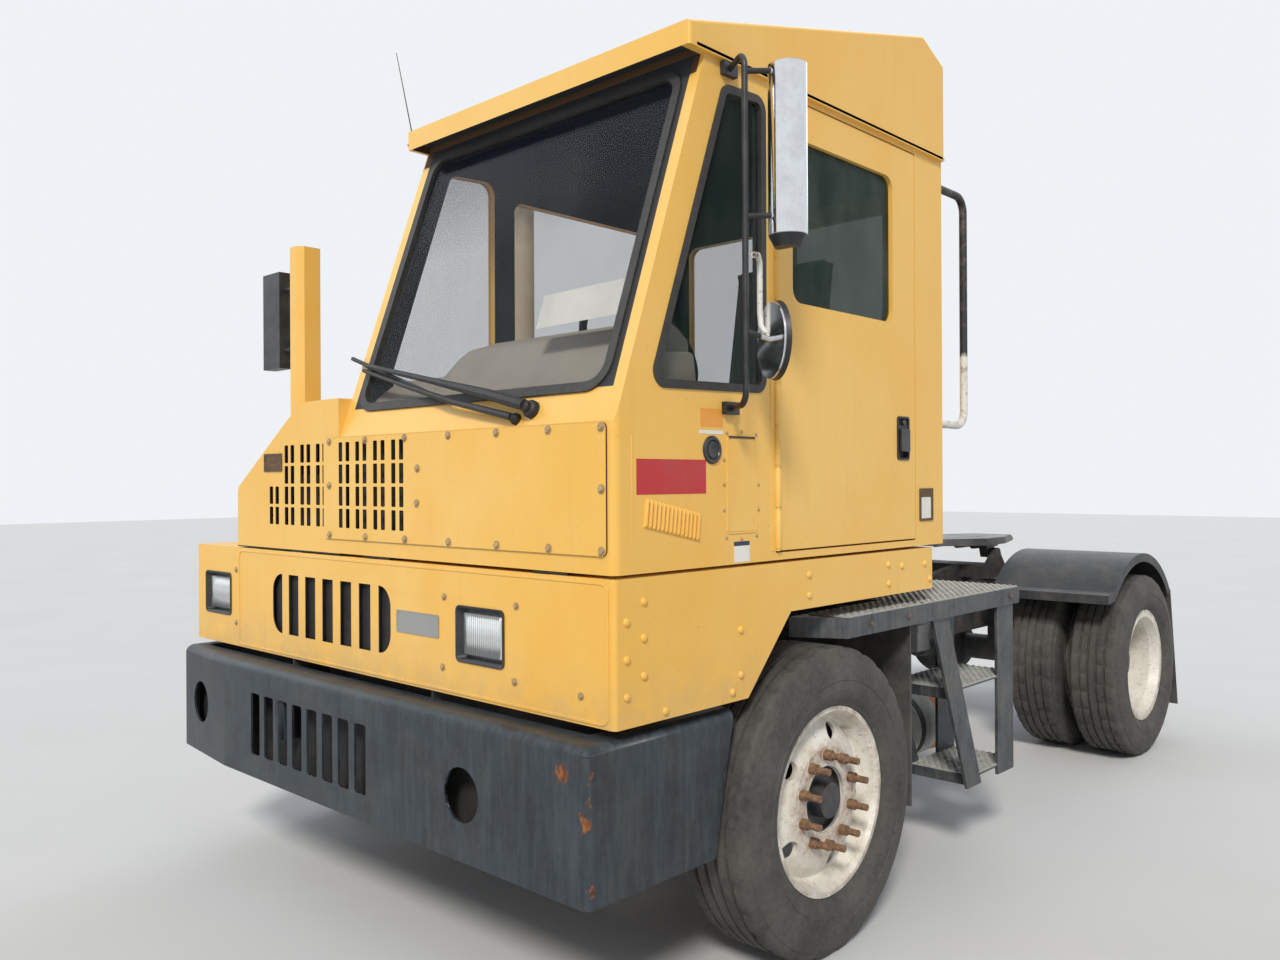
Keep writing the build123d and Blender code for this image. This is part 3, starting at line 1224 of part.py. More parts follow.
with BuildPart() as fifth_wheel:
    prism(Plane.XY.offset(plate_z[0]),
          [(-plate_half_w, fifth_y + 80), (-plate_half_w, fifth_y - 180), (-280, fifth_y - plate_front),
           (280, fifth_y - plate_front), (plate_half_w, fifth_y - 180), (plate_half_w, fifth_y + 80),
           (330, fifth_y + plate_rear), (200, fifth_y + plate_rear), (kingpin_seat_r, fifth_y + 90),
           (kingpin_seat_r, fifth_y), (-kingpin_seat_r, fifth_y), (-kingpin_seat_r, fifth_y + 90),
           (-200, fifth_y + plate_rear), (-330, fifth_y + plate_rear)], plate_z[1] - plate_z[0])
    rod((0, fifth_y, plate_z[0]), (0, fifth_y, plate_z[1]), kingpin_seat_r, Mode.SUBTRACT)
    for side in (1, -1):
        left = min(side * 350, side * 399)
        prism(across(left), [(fifth_y - 60, plate_z[0] + 5), (fifth_y + 60, plate_z[0] + 5), (fifth_y + 30, 1050),
                             (fifth_y - 30, 1050)], 49)
        rod((side * 399, fifth_y, fifth_pin_z), (side * 445, fifth_y, fifth_pin_z), fifth_pin_r)
        # Ramp at the rear, and ribs under the plate
        for x in (90, 230, 330):
            left = side * x - 7
            prism(across(left), [(fifth_y - 150, plate_z[0] + 1), (fifth_y + 300, plate_z[0] + 1),
                                 (fifth_y + 220, plate_z[0] - 28), (fifth_y - 90, plate_z[0] - 28)], 14)
    prism(across(-plate_half_w), [(fifth_y + 330, plate_z[1] + 1), (fifth_y + plate_rear + 1, plate_z[1] + 1),
                                  (fifth_y + plate_rear + 1, plate_z[0] + 14)], 2 * plate_half_w, Mode.SUBTRACT)

fifth_wheel.part.label = "fifth_wheel"
export_step(fifth_wheel.part, "parts/fifth_wheel.step")

# Lift cylinders between the frame and the boom
cylinder_run = Vector(0, rod_pin_y - cylinder_base_y, rod_pin_z - cylinder_base_z)
cylinder_dir = cylinder_run.normalized()
barrel_r = 52
barrel_len = 430
lift_rod_r = 25


def along(x, distance):
    """A point on a lift cylinder's axis, at a distance from its base pin."""
    return (x, cylinder_base_y + cylinder_dir.Y * distance, cylinder_base_z + cylinder_dir.Z * distance)


with BuildPart() as lift_barrels:
    for x in cylinder_x:
        rod(along(x, 45), along(x, barrel_len), barrel_r)
        rod((x - 50, cylinder_base_y, cylinder_base_z), (x + 50, cylinder_base_y, cylinder_base_z), 34)
        rod((x - 80, cylinder_base_y, cylinder_base_z), (x + 80, cylinder_base_y, cylinder_base_z), base_pin_r)
        rod(along(x, 10), along(x, 60), 25)
        rod(along(x, 120), along(x, barrel_len + 1), lift_rod_r + seat, Mode.SUBTRACT)

lift_barrels.part.label = "lift_barrels"
export_step(lift_barrels.part, "parts/lift_barrels.step")

with BuildPart() as lift_rods:
    for x in cylinder_x:
        rod(along(x, 180), along(x, cylinder_run.length - 30), lift_rod_r)
        rod((x - 30, rod_pin_y, rod_pin_z), (x + 30, rod_pin_y, rod_pin_z), rod_pin_r + eye_play + 13)
        rod((x - 31, rod_pin_y, rod_pin_z), (x + 31, rod_pin_y, rod_pin_z), rod_pin_r + eye_play, Mode.SUBTRACT)

lift_rods.part.label = "lift_rods"
export_step(lift_rods.part, "parts/lift_rods.step")
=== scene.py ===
"""Looks of the terminal tractor: materials, small parts, floor, light and camera.

Metres, in the frame of the CAD model: +X the driver's side, -Y the front, +Z up.
"""

import math

import bmesh
import bpy
from mathutils import Matrix, Vector


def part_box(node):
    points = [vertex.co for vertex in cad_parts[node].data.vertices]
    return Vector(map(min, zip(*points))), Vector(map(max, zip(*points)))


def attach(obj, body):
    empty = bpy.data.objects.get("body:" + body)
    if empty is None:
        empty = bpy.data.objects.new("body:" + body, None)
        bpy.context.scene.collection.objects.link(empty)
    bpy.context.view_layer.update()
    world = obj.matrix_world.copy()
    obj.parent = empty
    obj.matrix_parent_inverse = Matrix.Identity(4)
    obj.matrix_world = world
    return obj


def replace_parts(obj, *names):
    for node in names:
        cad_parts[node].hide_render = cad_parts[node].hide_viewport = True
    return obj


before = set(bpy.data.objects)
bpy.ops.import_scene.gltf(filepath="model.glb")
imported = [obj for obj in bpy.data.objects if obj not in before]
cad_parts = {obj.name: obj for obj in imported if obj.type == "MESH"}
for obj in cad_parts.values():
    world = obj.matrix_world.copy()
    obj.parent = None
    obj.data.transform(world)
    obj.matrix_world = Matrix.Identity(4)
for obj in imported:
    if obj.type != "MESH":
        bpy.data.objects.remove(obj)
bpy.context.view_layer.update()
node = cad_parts
scene = bpy.context.scene

# Sizes shared with the CAD model
FRONT_AXLE_Y = -1.457
REAR_AXLE_Y = 1.743
HUB_Z = 0.488
SIDE_X = 1.22
FACE_Y = FRONT_AXLE_Y - 0.947
PANEL_Y = FACE_Y - 0.006
FRONT_WHEEL_X = 1.143
TWIN_X = 0.915
TWIN_HALF = 0.165
BELT_Z = 1.664
PANEL_Z = (1.316, 1.660)
ROOF_Z = 2.705
SCREEN_BASE_Y = FRONT_AXLE_Y - 0.940
SCREEN_TOP_Y = FRONT_AXLE_Y - 0.577
HEAD_Y = FRONT_AXLE_Y - 0.425
ROUND_AT = (1.365, FRONT_AXLE_Y - 0.456, 1.898)
ROUND_LOOK = (0.5407, 0.8412)
DASH_BACK_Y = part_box("dashboard")[1].y
BUMPER_X = 1.21
BUMPER_Y = -2.495
BODY_RIGHT_X = -1.21
HOOD_RIGHT_X = -0.847
HOOD_REAR_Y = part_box("engine_hood")[1].y
SEAT_X = 0.72
SIDE_OUT = (1, 0, 0)
RIGHT_OUT = (-1, 0, 0)
REAR_OUT = (0, 1, 0)
FRONT_OUT = (0, -1, 0)
UP = (0, 0, 1)


# Materials
class Shader:
    """Builds one node material with short calls."""

    def __init__(self, name):
        self.mat = bpy.data.materials.new(name)
        self.mat.use_nodes = True
        self.tree = self.mat.node_tree
        self.bsdf = self.tree.nodes["Principled BSDF"]
        self.object = self.add("TexCoord").outputs["Object"]

    def add(self, kind, inputs=None, **props):
        n = self.tree.nodes.new("ShaderNode" + kind)
        for key, value in props.items():
            setattr(n, key, value)
        for key, value in (inputs or {}).items():
            self.put(n.inputs[key], value)
        return n

    def put(self, socket, value):
        if isinstance(value, bpy.types.NodeSocket):
            self.tree.links.new(value, socket)
        elif isinstance(value, tuple) and len(value) == 3 and socket.type == "RGBA":
            socket.default_value = (*value, 1.0)
        else:
            socket.default_value = value

    def set(self, **values):
        for key, value in values.items():
            self.put(self.bsdf.inputs[key.replace("_", " ")], value)

    def at(self, scale):
        """Object coordinates, stretched."""
        return self.add("Mapping", {"Vector": self.object, "Scale": scale}).outputs["Vector"]

    def noise(self, scale, detail=4.0, rough=0.55, stretch=None, distortion=0.0):
        vector = self.at(stretch) if stretch else self.object
        n = self.add("TexNoise", {"Vector": vector, "Scale": scale, "Detail": detail, "Roughness": rough,
                                  "Distortion": distortion})
        return n.outputs["Fac"]

    def ramp(self, value, low, high):
        """0 below low, 1 above high."""
        return self.add("MapRange", {"Value": value, "From Min": low, "From Max": high}).outputs["Result"]

    def patches(self, low, high, *noise, **more):
        """Noise cut to patches: 0 where it is below low, 1 above high."""
        return self.ramp(self.noise(*noise, **more), low, high)

    def math(self, operation, a, b=0.0):
        n = self.add("Math", operation=operation, use_clamp=False)
        self.put(n.inputs[0], a)
        self.put(n.inputs[1], b)
        return n.outputs[0]

    def plus(self, a, b):
        return self.math("ADD", a, b)

    def minus(self, a, b):
        return self.math("SUBTRACT", a, b)

    def times(self, *values):
        total = values[0]
        for value in values[1:]:
            total = self.math("MULTIPLY", total, value)
        return total

    def most(self, a, b):
        return self.math("MAXIMUM", a, b)

    def mix(self, amount, a, b):
        n = self.add("Mix", data_type="RGBA")
        self.put(n.inputs[0], amount)
        self.put(n.inputs[6], a)
        self.put(n.inputs[7], b)
        return n.outputs[2]

    def axes(self):
        n = self.add("SeparateXYZ", {"Vector": self.object})
        return n.outputs["X"], n.outputs["Y"], n.outputs["Z"]

    def distance(self, *pairs):
        """How far a point is from a place, by the coordinates given with it."""
        total = 0.0
        for value, place in pairs:
            off = self.minus(value, place)
            total = self.plus(self.times(off, off), total)
        return self.math("SQRT", total)

    def within(self, value, low, high, soft=0.004):
        """1 between two limits, 0 outside."""
        return self.times(self.ramp(value, low, low + soft), self.ramp(value, high, high - soft))

    def bump(self, height, strength=0.3, distance=0.001):
        n = self.add("Bump", {"Height": height, "Strength": strength, "Distance": distance})
        self.put(self.bsdf.inputs["Normal"], n.outputs["Normal"])
        return n


def paint(name, dark=(), low_dirt=None, grime=0.16, ceiling=None):
    """Old yellow enamel: faded and deeper clouds, faint runs, chips, and dark places out of the light.

    dark lists boxes of (x, y, z) limits and the colour inside them: painted shade for insides and gaps. ceiling is two
    x limits: what faces down or sideways between them takes the dark lining colour too, as painted shade.
    """
    s = Shader(name)
    clouds = s.patches(0.34, 0.68, 1.3, 5, 0.6)
    base = s.mix(clouds, YELLOW, FADED)
    worn = s.patches(0.53, 0.74, 0.7, 4, 0.68, distortion=0.5)
    base = s.mix(s.times(worn, 0.6), base, DEEP)
    mottle = s.patches(0.3, 0.75, 24.0, 6, 0.7)
    base = s.mix(s.times(mottle, 0.10), base, DEEP)
    streak = s.patches(0.58, 0.84, 4.0, 6, 0.65, stretch=(5.0, 5.0, 0.4))
    base = s.mix(s.times(streak, grime), base, DUST)
    specks = s.patches(0.735, 0.77, 130.0, 2, 0.5)
    base = s.mix(s.times(specks, 0.55), base, (0.13, 0.06, 0.025))
    x, y, z = s.axes()
    if low_dirt:
        low = s.times(s.ramp(z, low_dirt[1], low_dirt[0]), s.patches(0.36, 0.66, 9.0, 6, 0.7))
        base = s.mix(s.times(low, 0.4), base, DUST)
    rough = s.plus(s.times(clouds, 0.12), s.times(streak, 0.2))
    rough = s.plus(rough, 0.34)
    for (x0, x1), (y0, y1), (z0, z1), colour in dark:
        mask = s.times(s.within(x, x0, x1, 0.001), s.within(y, y0, y1, 0.001), s.within(z, z0, z1, 0.001))
        base = s.mix(mask, base, colour)
        rough = s.most(rough, s.times(mask, 0.8))
    if ceiling:
        # Faces turned down or sideways between the ceiling's limits: painted shade in the lining colour.
        facing = s.add("SeparateXYZ", {"Vector": s.add("NewGeometry").outputs["True Normal"]}).outputs
        inward = s.most(s.ramp(facing["Z"], -0.3, -0.4), s.ramp(s.math("ABSOLUTE", facing["X"], 0.0), 0.90, 0.95))
        ceiling_shade = s.times(inward, s.within(x, ceiling[0], ceiling[1], 0.001))
        base = s.mix(ceiling_shade, base, LINING_SHADE)
        rough = s.most(rough, s.times(ceiling_shade, 0.85))
    s.set(Base_Color=base, Roughness=rough)
    peel = s.plus(s.times(s.noise(300.0, 2, 0.5), 0.2), s.times(s.noise(2.6, 2, 0.5), 1.6))
    s.bump(peel, 0.2, 0.0016)
    return s.mat


def worn_black(name, colour=(0.014, 0.018, 0.024), scuff=(0.10, 0.122, 0.145), amount=0.55, chips=0.0, rough=0.42,
               dust=(0.16, 0.14, 0.115), dusty=0.25, corner=None):
    """Black paint rubbed blue-grey, with vertical runs, dust and rust where it chipped.

    corner is the x and y of an upright edge: chips and white scratches crowd there.
    """
    s = Shader(name)
    runs = s.patches(0.44, 0.78, 9.0, 8, 0.72, stretch=(5.0, 5.0, 0.5))
    scuffs = s.patches(0.42, 0.75, 2.6, 7, 0.7, distortion=1.2)
    base = s.mix(s.times(runs, amount), colour, scuff)
    base = s.mix(s.times(scuffs, amount * 0.55), base, scuff)
    fine = s.patches(0.50, 0.72, 70.0, 6, 0.75)
    base = s.mix(s.times(fine, 0.22), base, scuff)
    settled = s.patches(0.45, 0.8, 5.5, 6, 0.7)
    base = s.mix(s.times(settled, dusty), base, dust)
    roughness = s.plus(s.times(runs, 0.22), rough)
    if chips:
        flaking = s.noise(15.0, 8, 0.66, distortion=0.8)
        if corner:
            x, y, z = s.axes()
            near = s.ramp(s.distance((x, corner[0]), (y, corner[1])), 0.060, 0.012)
            spot = s.ramp(s.distance((x, corner[0] - 0.095), (y, corner[1]), (z, 0.768)), 0.048, 0.020)
            flaking = s.plus(flaking, s.times(near, 0.19))
            flaking = s.plus(s.minus(flaking, 0.075), s.times(spot, 0.26))
            scratch = s.patches(0.70, 0.73, 30.0, 7, 0.75, stretch=(1.0, 1.0, 0.35), distortion=1.5)
            worn_edge = s.ramp(s.distance((x, corner[0]), (y, corner[1])), 0.35, 0.05)
            base = s.mix(s.times(scratch, s.plus(s.times(worn_edge, 0.6), 0.15)), base, (0.55, 0.56, 0.54))
        flake = s.ramp(flaking, 0.69 - chips * 0.03, 0.70 - chips * 0.03)
        rust = s.mix(s.patches(0.35, 0.65, 60.0, 4, 0.6), (0.30, 0.105, 0.03), (0.085, 0.028, 0.012))
        base = s.mix(flake, base, rust)
        roughness = s.most(roughness, s.times(flake, 0.85))
    s.set(Base_Color=base, Roughness=roughness)
    s.bump(s.plus(s.noise(180.0, 3, 0.6), s.times(runs, 0.5)), 0.2, 0.001)
    return s.mat


def rubber(name, colour=(0.028, 0.027, 0.026), dust=(0.17, 0.155, 0.135), amount=0.5, rough=0.78):
    """Old rubber with dust settled in its clouds and scuffs round the tread."""
    s = Shader(name)
    clouds = s.patches(0.34, 0.76, 5.0, 7, 0.72)
    fine = s.patches(0.35, 0.75, 55.0, 5, 0.7)
    base = s.mix(s.times(clouds, amount), colour, dust)
    base = s.mix(s.times(fine, 0.25), base, dust)
    s.set(Base_Color=base, Roughness=rough)
    s.bump(s.plus(s.noise(150.0, 4, 0.7), s.times(s.noise(30.0, 3, 0.6), 0.8)), 0.3, 0.0012)
    return s.mat


def metal(name, colour, rough=0.4, stain=(0.12, 0.09, 0.07), amount=0.35, metallic=1.0, scale=14.0):
    """Bare or plated metal with stains and fine scratches."""
    s = Shader(name)
    blots = s.patches(0.42, 0.75, scale, 6, 0.7)
    base = s.mix(s.times(blots, amount), colour, stain)
    hair = s.noise(90.0, 5, 0.75, stretch=(1.0, 1.0, 8.0))
    s.set(Base_Color=base, Metallic=metallic)
    s.set(Roughness=s.plus(s.times(s.most(blots, hair), 0.28), rough))
    s.bump(hair, 0.08, 0.0006)
    return s.mat


def plastic(name, colour, rough=0.5, grain=260.0, dust=0.15, dust_colour=(0.2, 0.18, 0.15)):
    """Moulded plastic with a fine grain and a little dust."""
    s = Shader(name)
    base = s.mix(s.times(s.patches(0.45, 0.8, 7.0, 6, 0.7), dust), colour, dust_colour)
    s.set(Base_Color=base, Roughness=rough)
    s.bump(s.noise(grain, 3, 0.6), 0.16, 0.0006)
    return s.mat


def glass(name, body, veil, film=0.05, dark_above=None, rough=0.04):
    """Glass seen through: veil is how much it hides, more where it is dusty or above a shade band."""
    s = Shader(name)
    dirt = s.patches(0.42, 0.80, 4.0, 7, 0.72, stretch=(1.0, 1.0, 0.6))
    spots = s.patches(0.68, 0.76, 120.0, 3, 0.6)
    haze = s.plus(s.times(dirt, film), s.times(spots, film))
    hidden = s.plus(haze, veil)
    base = s.mix(s.ramp(haze, 0.0, film * 4), body, (0.30, 0.29, 0.26))
    if dark_above:
        x, y, z = s.axes()
        band = s.ramp(z, dark_above[0], dark_above[1])
        hidden = s.plus(hidden, s.times(band, dark_above[2]))
        base = s.mix(band, base, (0.010, 0.013, 0.022))
    s.set(Base_Color=base, Roughness=s.plus(s.times(dirt, 0.08), rough), IOR=1.45, Specular_IOR_Level=0.12,
          Alpha=hidden)
    return s.mat


YELLOW = (0.83, 0.475, 0.085)
FADED = (0.86, 0.545, 0.155)
DEEP = (0.82, 0.385, 0.030)
DUST = (0.40, 0.31, 0.20)
# Near black on the inner faces of the cab, door, roof and hood: dark lining with painted shade.
LINING_SHADE = (0.030, 0.032, 0.036)
SHADE = (0.018, 0.014, 0.010)
# Painted shade: in the gap between the lower body and the hood and cab, inside the air duct, and on the cab's front
# behind the panel.
SEAM_SHADE = ((-3, 3), (-3, 3), (1.2572, 1.2668), SHADE)
# The inside of the cab: painted shade in the lining colour.
cab_lining_shade = ((-0.0615, 1.1815), (FACE_Y + 0.0385, -0.6795), (1.28, 3.2), LINING_SHADE)
duct_shade = ((-0.061, 0.3065), (FACE_Y + 0.002, FACE_Y + 0.2), (1.340, 1.657), SHADE)
behind_panel = ((-0.0995, 1.19), (FACE_Y - 0.001, FACE_Y + 0.03), (1.32, 1.655), SHADE)
VISOR_SHADE = (0.10, 0.048, 0.016)
under_visor = ((-0.095, 1.205), (-2.12, -1.995), (2.650, 2.706), VISOR_SHADE)
cab_paint = paint("cab_paint", (SEAM_SHADE, under_visor, cab_lining_shade, duct_shade, behind_panel))
# The roof's inner walls and ceiling: painted shade in the lining colour; its visor recess: painted shade.
roof_paint = paint("roof_paint", (((-0.068, 1.202), (-2.03, -0.66), (2.6, 2.76), LINING_SHADE),
                                  ((-0.068, 1.202), (-0.69, -0.665), (2.7, 3.03), LINING_SHADE),
                                  ((-0.068, 1.202), (-0.70, -0.665), (3.02, 3.06), LINING_SHADE),
                                  ((-0.068, 1.202), (-0.84, -0.695), (3.02, 3.084), LINING_SHADE),
                                  ((-0.085, 1.205), (-2.1155, -2.03), (2.69, 2.735), VISOR_SHADE)),
                   ceiling=(-0.07, 1.205))
# The door's inner face: painted shade in the lining colour.
door_paint = paint("door_paint", (((1.0, 1.186), (-2.0, 0.0), (1.2, 2.8), LINING_SHADE),))
panel_paint = paint("panel_paint", (((-0.2, 1.25), (FACE_Y - 0.0055, 0), (1.3, 1.67), SHADE),))
body_paint = paint("body_paint", (SEAM_SHADE, ((-1.203, 1.2135), (FACE_Y + 0.0052, 0), (0.4, 1.2508), SHADE),
                                  ((-0.57, 0.212), (FACE_Y + 0.001, 0), (0.953, 1.175), SHADE),
                                  ((0.555, 0.785), (FACE_Y + 0.001, 0), (0.974, 1.146), SHADE),
                                  ((-1.131, -0.901), (FACE_Y + 0.001, 0), (0.984, 1.156), SHADE)),
                   low_dirt=(0.86, 1.05), grime=0.22)
hood_paint = paint("hood_paint", (SEAM_SHADE, ((-0.828, -0.44), (FACE_Y + 0.0052, -1.187), (1.2, 1.474), SHADE),
                                  ((-0.44, -0.1), (FACE_Y + 0.0052, -1.187), (1.2, 1.73), SHADE),
                                  ((-0.61, -0.17), (FACE_Y + 0.0006, -2.3), (1.34, 1.66), SHADE),
                                  ((-0.186, -0.09), (FACE_Y - 0.001, -2.3), (1.32, 1.655), SHADE)),
                   ceiling=(-0.83, -0.1))
bumper_black = worn_black("bumper_black", (0.011, 0.015, 0.021), (0.056, 0.076, 0.092), chips=1.0, amount=0.75,
                          dust=(0.12, 0.125, 0.105), corner=(BUMPER_X, BUMPER_Y))
step_black = worn_black("step_black", scuff=(0.19, 0.20, 0.205), amount=0.6, chips=0.5, dusty=0.5)
frame_black = worn_black("frame_black", (0.02, 0.02, 0.022), (0.07, 0.068, 0.065), dusty=0.55, rough=0.55, chips=0.6)
fender_black = worn_black("fender_black", (0.022, 0.024, 0.028), (0.085, 0.09, 0.095), amount=0.35, dusty=0.4,
                          rough=0.5)
tyre_rubber = rubber("tyre_rubber")
flap_rubber = rubber("flap_rubber", (0.03, 0.03, 0.03), amount=0.65)
seal_rubber = rubber("seal_rubber", (0.014, 0.014, 0.014), (0.10, 0.09, 0.08), 0.35, 0.6)
black_metal = worn_black("black_metal", amount=0.35, dusty=0.1)
black_plastic = plastic("black_plastic", (0.018, 0.018, 0.02))
rusty = metal("rusty", (0.20, 0.105, 0.06), 0.7, (0.075, 0.036, 0.02), 0.7, metallic=0.25, scale=60.0)
cast_iron = metal("cast_iron", (0.07, 0.065, 0.06), 0.6, (0.13, 0.085, 0.05), 0.55, metallic=0.4)
zinc = metal("zinc", (0.55, 0.52, 0.46), 0.42, (0.22, 0.12, 0.06), 0.5)
grease_steel = metal("grease_steel", (0.16, 0.155, 0.15), 0.35, (0.03, 0.026, 0.022), 0.85, metallic=0.8, scale=4.0)
screen_glass = glass("screen_glass", (0.05, 0.06, 0.07), 0.10, 0.05, (2.25, 2.60, 0.25))
side_glass = glass("side_glass", (0.02, 0.045, 0.04), 0.20, 0.03)
door_pane = glass("door_pane", (0.010, 0.030, 0.022), 0.72, 0.04)
dash_trim = plastic("dash_trim", (0.36, 0.325, 0.27), 0.75, dust=0.4)
seat_cloth = plastic("seat_cloth", (0.055, 0.068, 0.045), 0.9, grain=420.0, dust=0.35)
wheel_plastic = plastic("wheel_plastic", (0.02, 0.02, 0.022), 0.4)
white_plate = plastic("white_plate", (0.78, 0.76, 0.70), 0.5, dust=0.25)
red_plate = plastic("red_plate", (0.50, 0.022, 0.024), 0.4, dust=0.2)
orange_patch = plastic("orange_patch", (0.80, 0.34, 0.05), 0.5, dust=0.1)
navy_plate = plastic("navy_plate", (0.02, 0.028, 0.07), 0.5)
lamp_red = plastic("lamp_red", (0.35, 0.01, 0.01), 0.25)
grey_plate = plastic("grey_plate", (0.30, 0.30, 0.29), 0.4, dust=0.4)
port_plastic = plastic("port_plastic", (0.022, 0.024, 0.026), 0.35, dust=0.3)
bronze_plate = metal("bronze_plate", (0.115, 0.065, 0.035), 0.5, (0.30, 0.20, 0.10), 0.5, metallic=0.5, scale=60.0)
dull_bolt = metal("dull_bolt", (0.50, 0.36, 0.20), 0.55, (0.20, 0.11, 0.05), 0.7, metallic=0.35, scale=70.0)
dark_bolt = metal("dark_bolt", (0.13, 0.12, 0.115), 0.5, (0.22, 0.11, 0.05), 0.6, metallic=0.5, scale=80.0)
dark_iron = worn_black("dark_iron", (0.012, 0.012, 0.013), (0.035, 0.033, 0.03), dusty=0.2, rough=0.7)
wiper_black = worn_black("wiper_black", (0.010, 0.010, 0.011), (0.05, 0.05, 0.052), amount=0.3, dusty=0.12, rough=0.5)
pale_box = plastic("pale_box", (0.62, 0.62, 0.58), 0.55, dust=0.4)
vent_paint = paint("vent_paint", grime=0.3)
hinge_paint = paint("hinge_paint", grime=0.05)


def painted(describe):
    """The material that a function describes, by the function's name."""
    s = Shader(describe.__name__)
    describe(s)
    return s.mat


@painted
def tank_paint(s):
    """Pale grey paint, rubbed to a rust-orange band."""
    x, y, z = s.axes()
    pale = s.mix(s.patches(0.35, 0.7, 7.0, 7, 0.7), (0.50, 0.51, 0.47), (0.26, 0.25, 0.20))
    band = s.times(s.within(s.plus(y, s.times(s.noise(14.0, 5, 0.6), 0.03)), -0.035, 0.075, 0.02),
                   s.patches(0.30, 0.45, 11.0, 6, 0.7))
    s.set(Base_Color=s.mix(band, pale, (0.50, 0.13, 0.035)), Roughness=0.7)
    s.bump(s.noise(90.0, 5, 0.7), 0.2, 0.001)


@painted
def white_tube(s):
    """White paint chipped to dark metal."""
    chip = s.patches(0.56, 0.62, 40.0, 6, 0.7)
    s.set(Base_Color=s.mix(chip, (0.72, 0.70, 0.65), (0.12, 0.09, 0.07)), Roughness=0.5)
    s.bump(chip, 0.2, 0.0006)


@painted
def stack_paint(s):
    """Silencer in black below, the stack above it in chalky beige, rust along the joint."""
    x, y, z = s.axes()
    upper = s.ramp(s.plus(z, s.times(s.noise(18.0, 5, 0.6), 0.03)), 1.815, 1.822)
    beige = s.mix(s.patches(0.4, 0.75, 6.0, 6, 0.7), (0.60, 0.54, 0.42), (0.44, 0.36, 0.25))
    dark = s.mix(s.patches(0.42, 0.75, 7.0, 7, 0.7), (0.035, 0.04, 0.05), (0.12, 0.10, 0.09))
    rust = s.times(s.within(z, 1.76, 1.90, 0.06), s.patches(0.45, 0.6, 24.0, 6, 0.7))
    top = s.times(s.ramp(z, 2.62, 2.86), s.patches(0.3, 0.6, 20.0, 6, 0.7))
    base = s.mix(s.times(rust, 0.7), s.mix(upper, dark, beige), (0.24, 0.10, 0.045))
    s.set(Base_Color=s.mix(s.times(top, 0.8), base, (0.05, 0.045, 0.04)), Roughness=0.7)
    s.bump(s.noise(90.0, 5, 0.7), 0.2, 0.001)


def wheel_material(name, axle_y, face_x, cap_r):
    """White steel wheel: rust round the nuts and the hand holes, studs rust-brown, hub black, and painted shade in the
    recess behind the face.
    """
    s = Shader(name)
    x, y, z = s.axes()
    r = s.distance((y, axle_y), (z, HUB_Z))
    out = s.math("ABSOLUTE", x)
    white = s.mix(s.patches(0.42, 0.8, 7.0, 7, 0.72), (0.76, 0.73, 0.66), (0.52, 0.45, 0.34))
    specks = s.patches(0.57, 0.68, 60.0, 5, 0.7)
    white = s.mix(s.times(specks, 0.6), white, (0.30, 0.19, 0.11))
    halo = s.times(s.within(r, 0.095, 0.195, 0.035), s.patches(0.40, 0.60, 22.0, 7, 0.75))
    base = s.mix(s.times(halo, 0.85), white, (0.30, 0.16, 0.08))
    edge = s.times(s.ramp(r, 0.268, 0.292), s.patches(0.40, 0.65, 18.0, 6, 0.7))
    base = s.mix(s.times(edge, 0.7), base, (0.22, 0.14, 0.085))
    # Inboard of the face and inside the rim: near black, painted shade in the wheel's recess.
    deep = s.times(s.ramp(out, face_x - 0.055, face_x - 0.075), s.ramp(r, 0.27, 0.262))
    base = s.mix(deep, base, (0.05, 0.042, 0.035))
    stud = s.times(s.ramp(out, face_x + 0.0015, face_x + 0.0025), s.within(r, 0.118, 0.168, 0.002))
    rust = s.mix(s.patches(0.35, 0.65, 90.0, 5, 0.7), (0.30, 0.17, 0.095), (0.11, 0.055, 0.03))
    base = s.mix(stud, base, rust)
    hub = s.ramp(r, cap_r + 0.001, cap_r - 0.001)
    hub_colour = s.mix(s.patches(0.4, 0.7, 12.0, 6, 0.7), (0.018, 0.026, 0.04), (0.09, 0.07, 0.055))
    base = s.mix(hub, base, hub_colour)
    s.set(Base_Color=base, Roughness=s.plus(s.times(s.most(stud, halo), 0.35), 0.42))
    s.bump(s.noise(120.0, 5, 0.7), 0.2, 0.0009)
    return s.mat


@painted
def lamp_lens(s):
    """Clear lens over a bright bowl, with fine vertical flutes; their glints painted into the colour as light and dark
    stripes.
    """
    x, y, z = s.axes()
    flute_and_glint = s.math("SINE", s.times(x, 700.0))
    ribs = s.math("SINE", s.times(z, 160.0))
    # Light and dark stripes across the flutes: painted glints.
    base = s.mix(s.ramp(flute_and_glint, -1.0, 1.0), (0.62, 0.66, 0.68), (0.86, 0.88, 0.88))
    s.set(Base_Color=s.mix(s.times(s.patches(0.4, 0.8, 9.0, 6, 0.7), 0.35), base, (0.42, 0.38, 0.30)))
    s.set(Roughness=0.12, Metallic=0.55, Coat_Weight=0.8)
    s.bump(s.plus(flute_and_glint, s.times(ribs, 0.7)), 0.5, 0.0012)


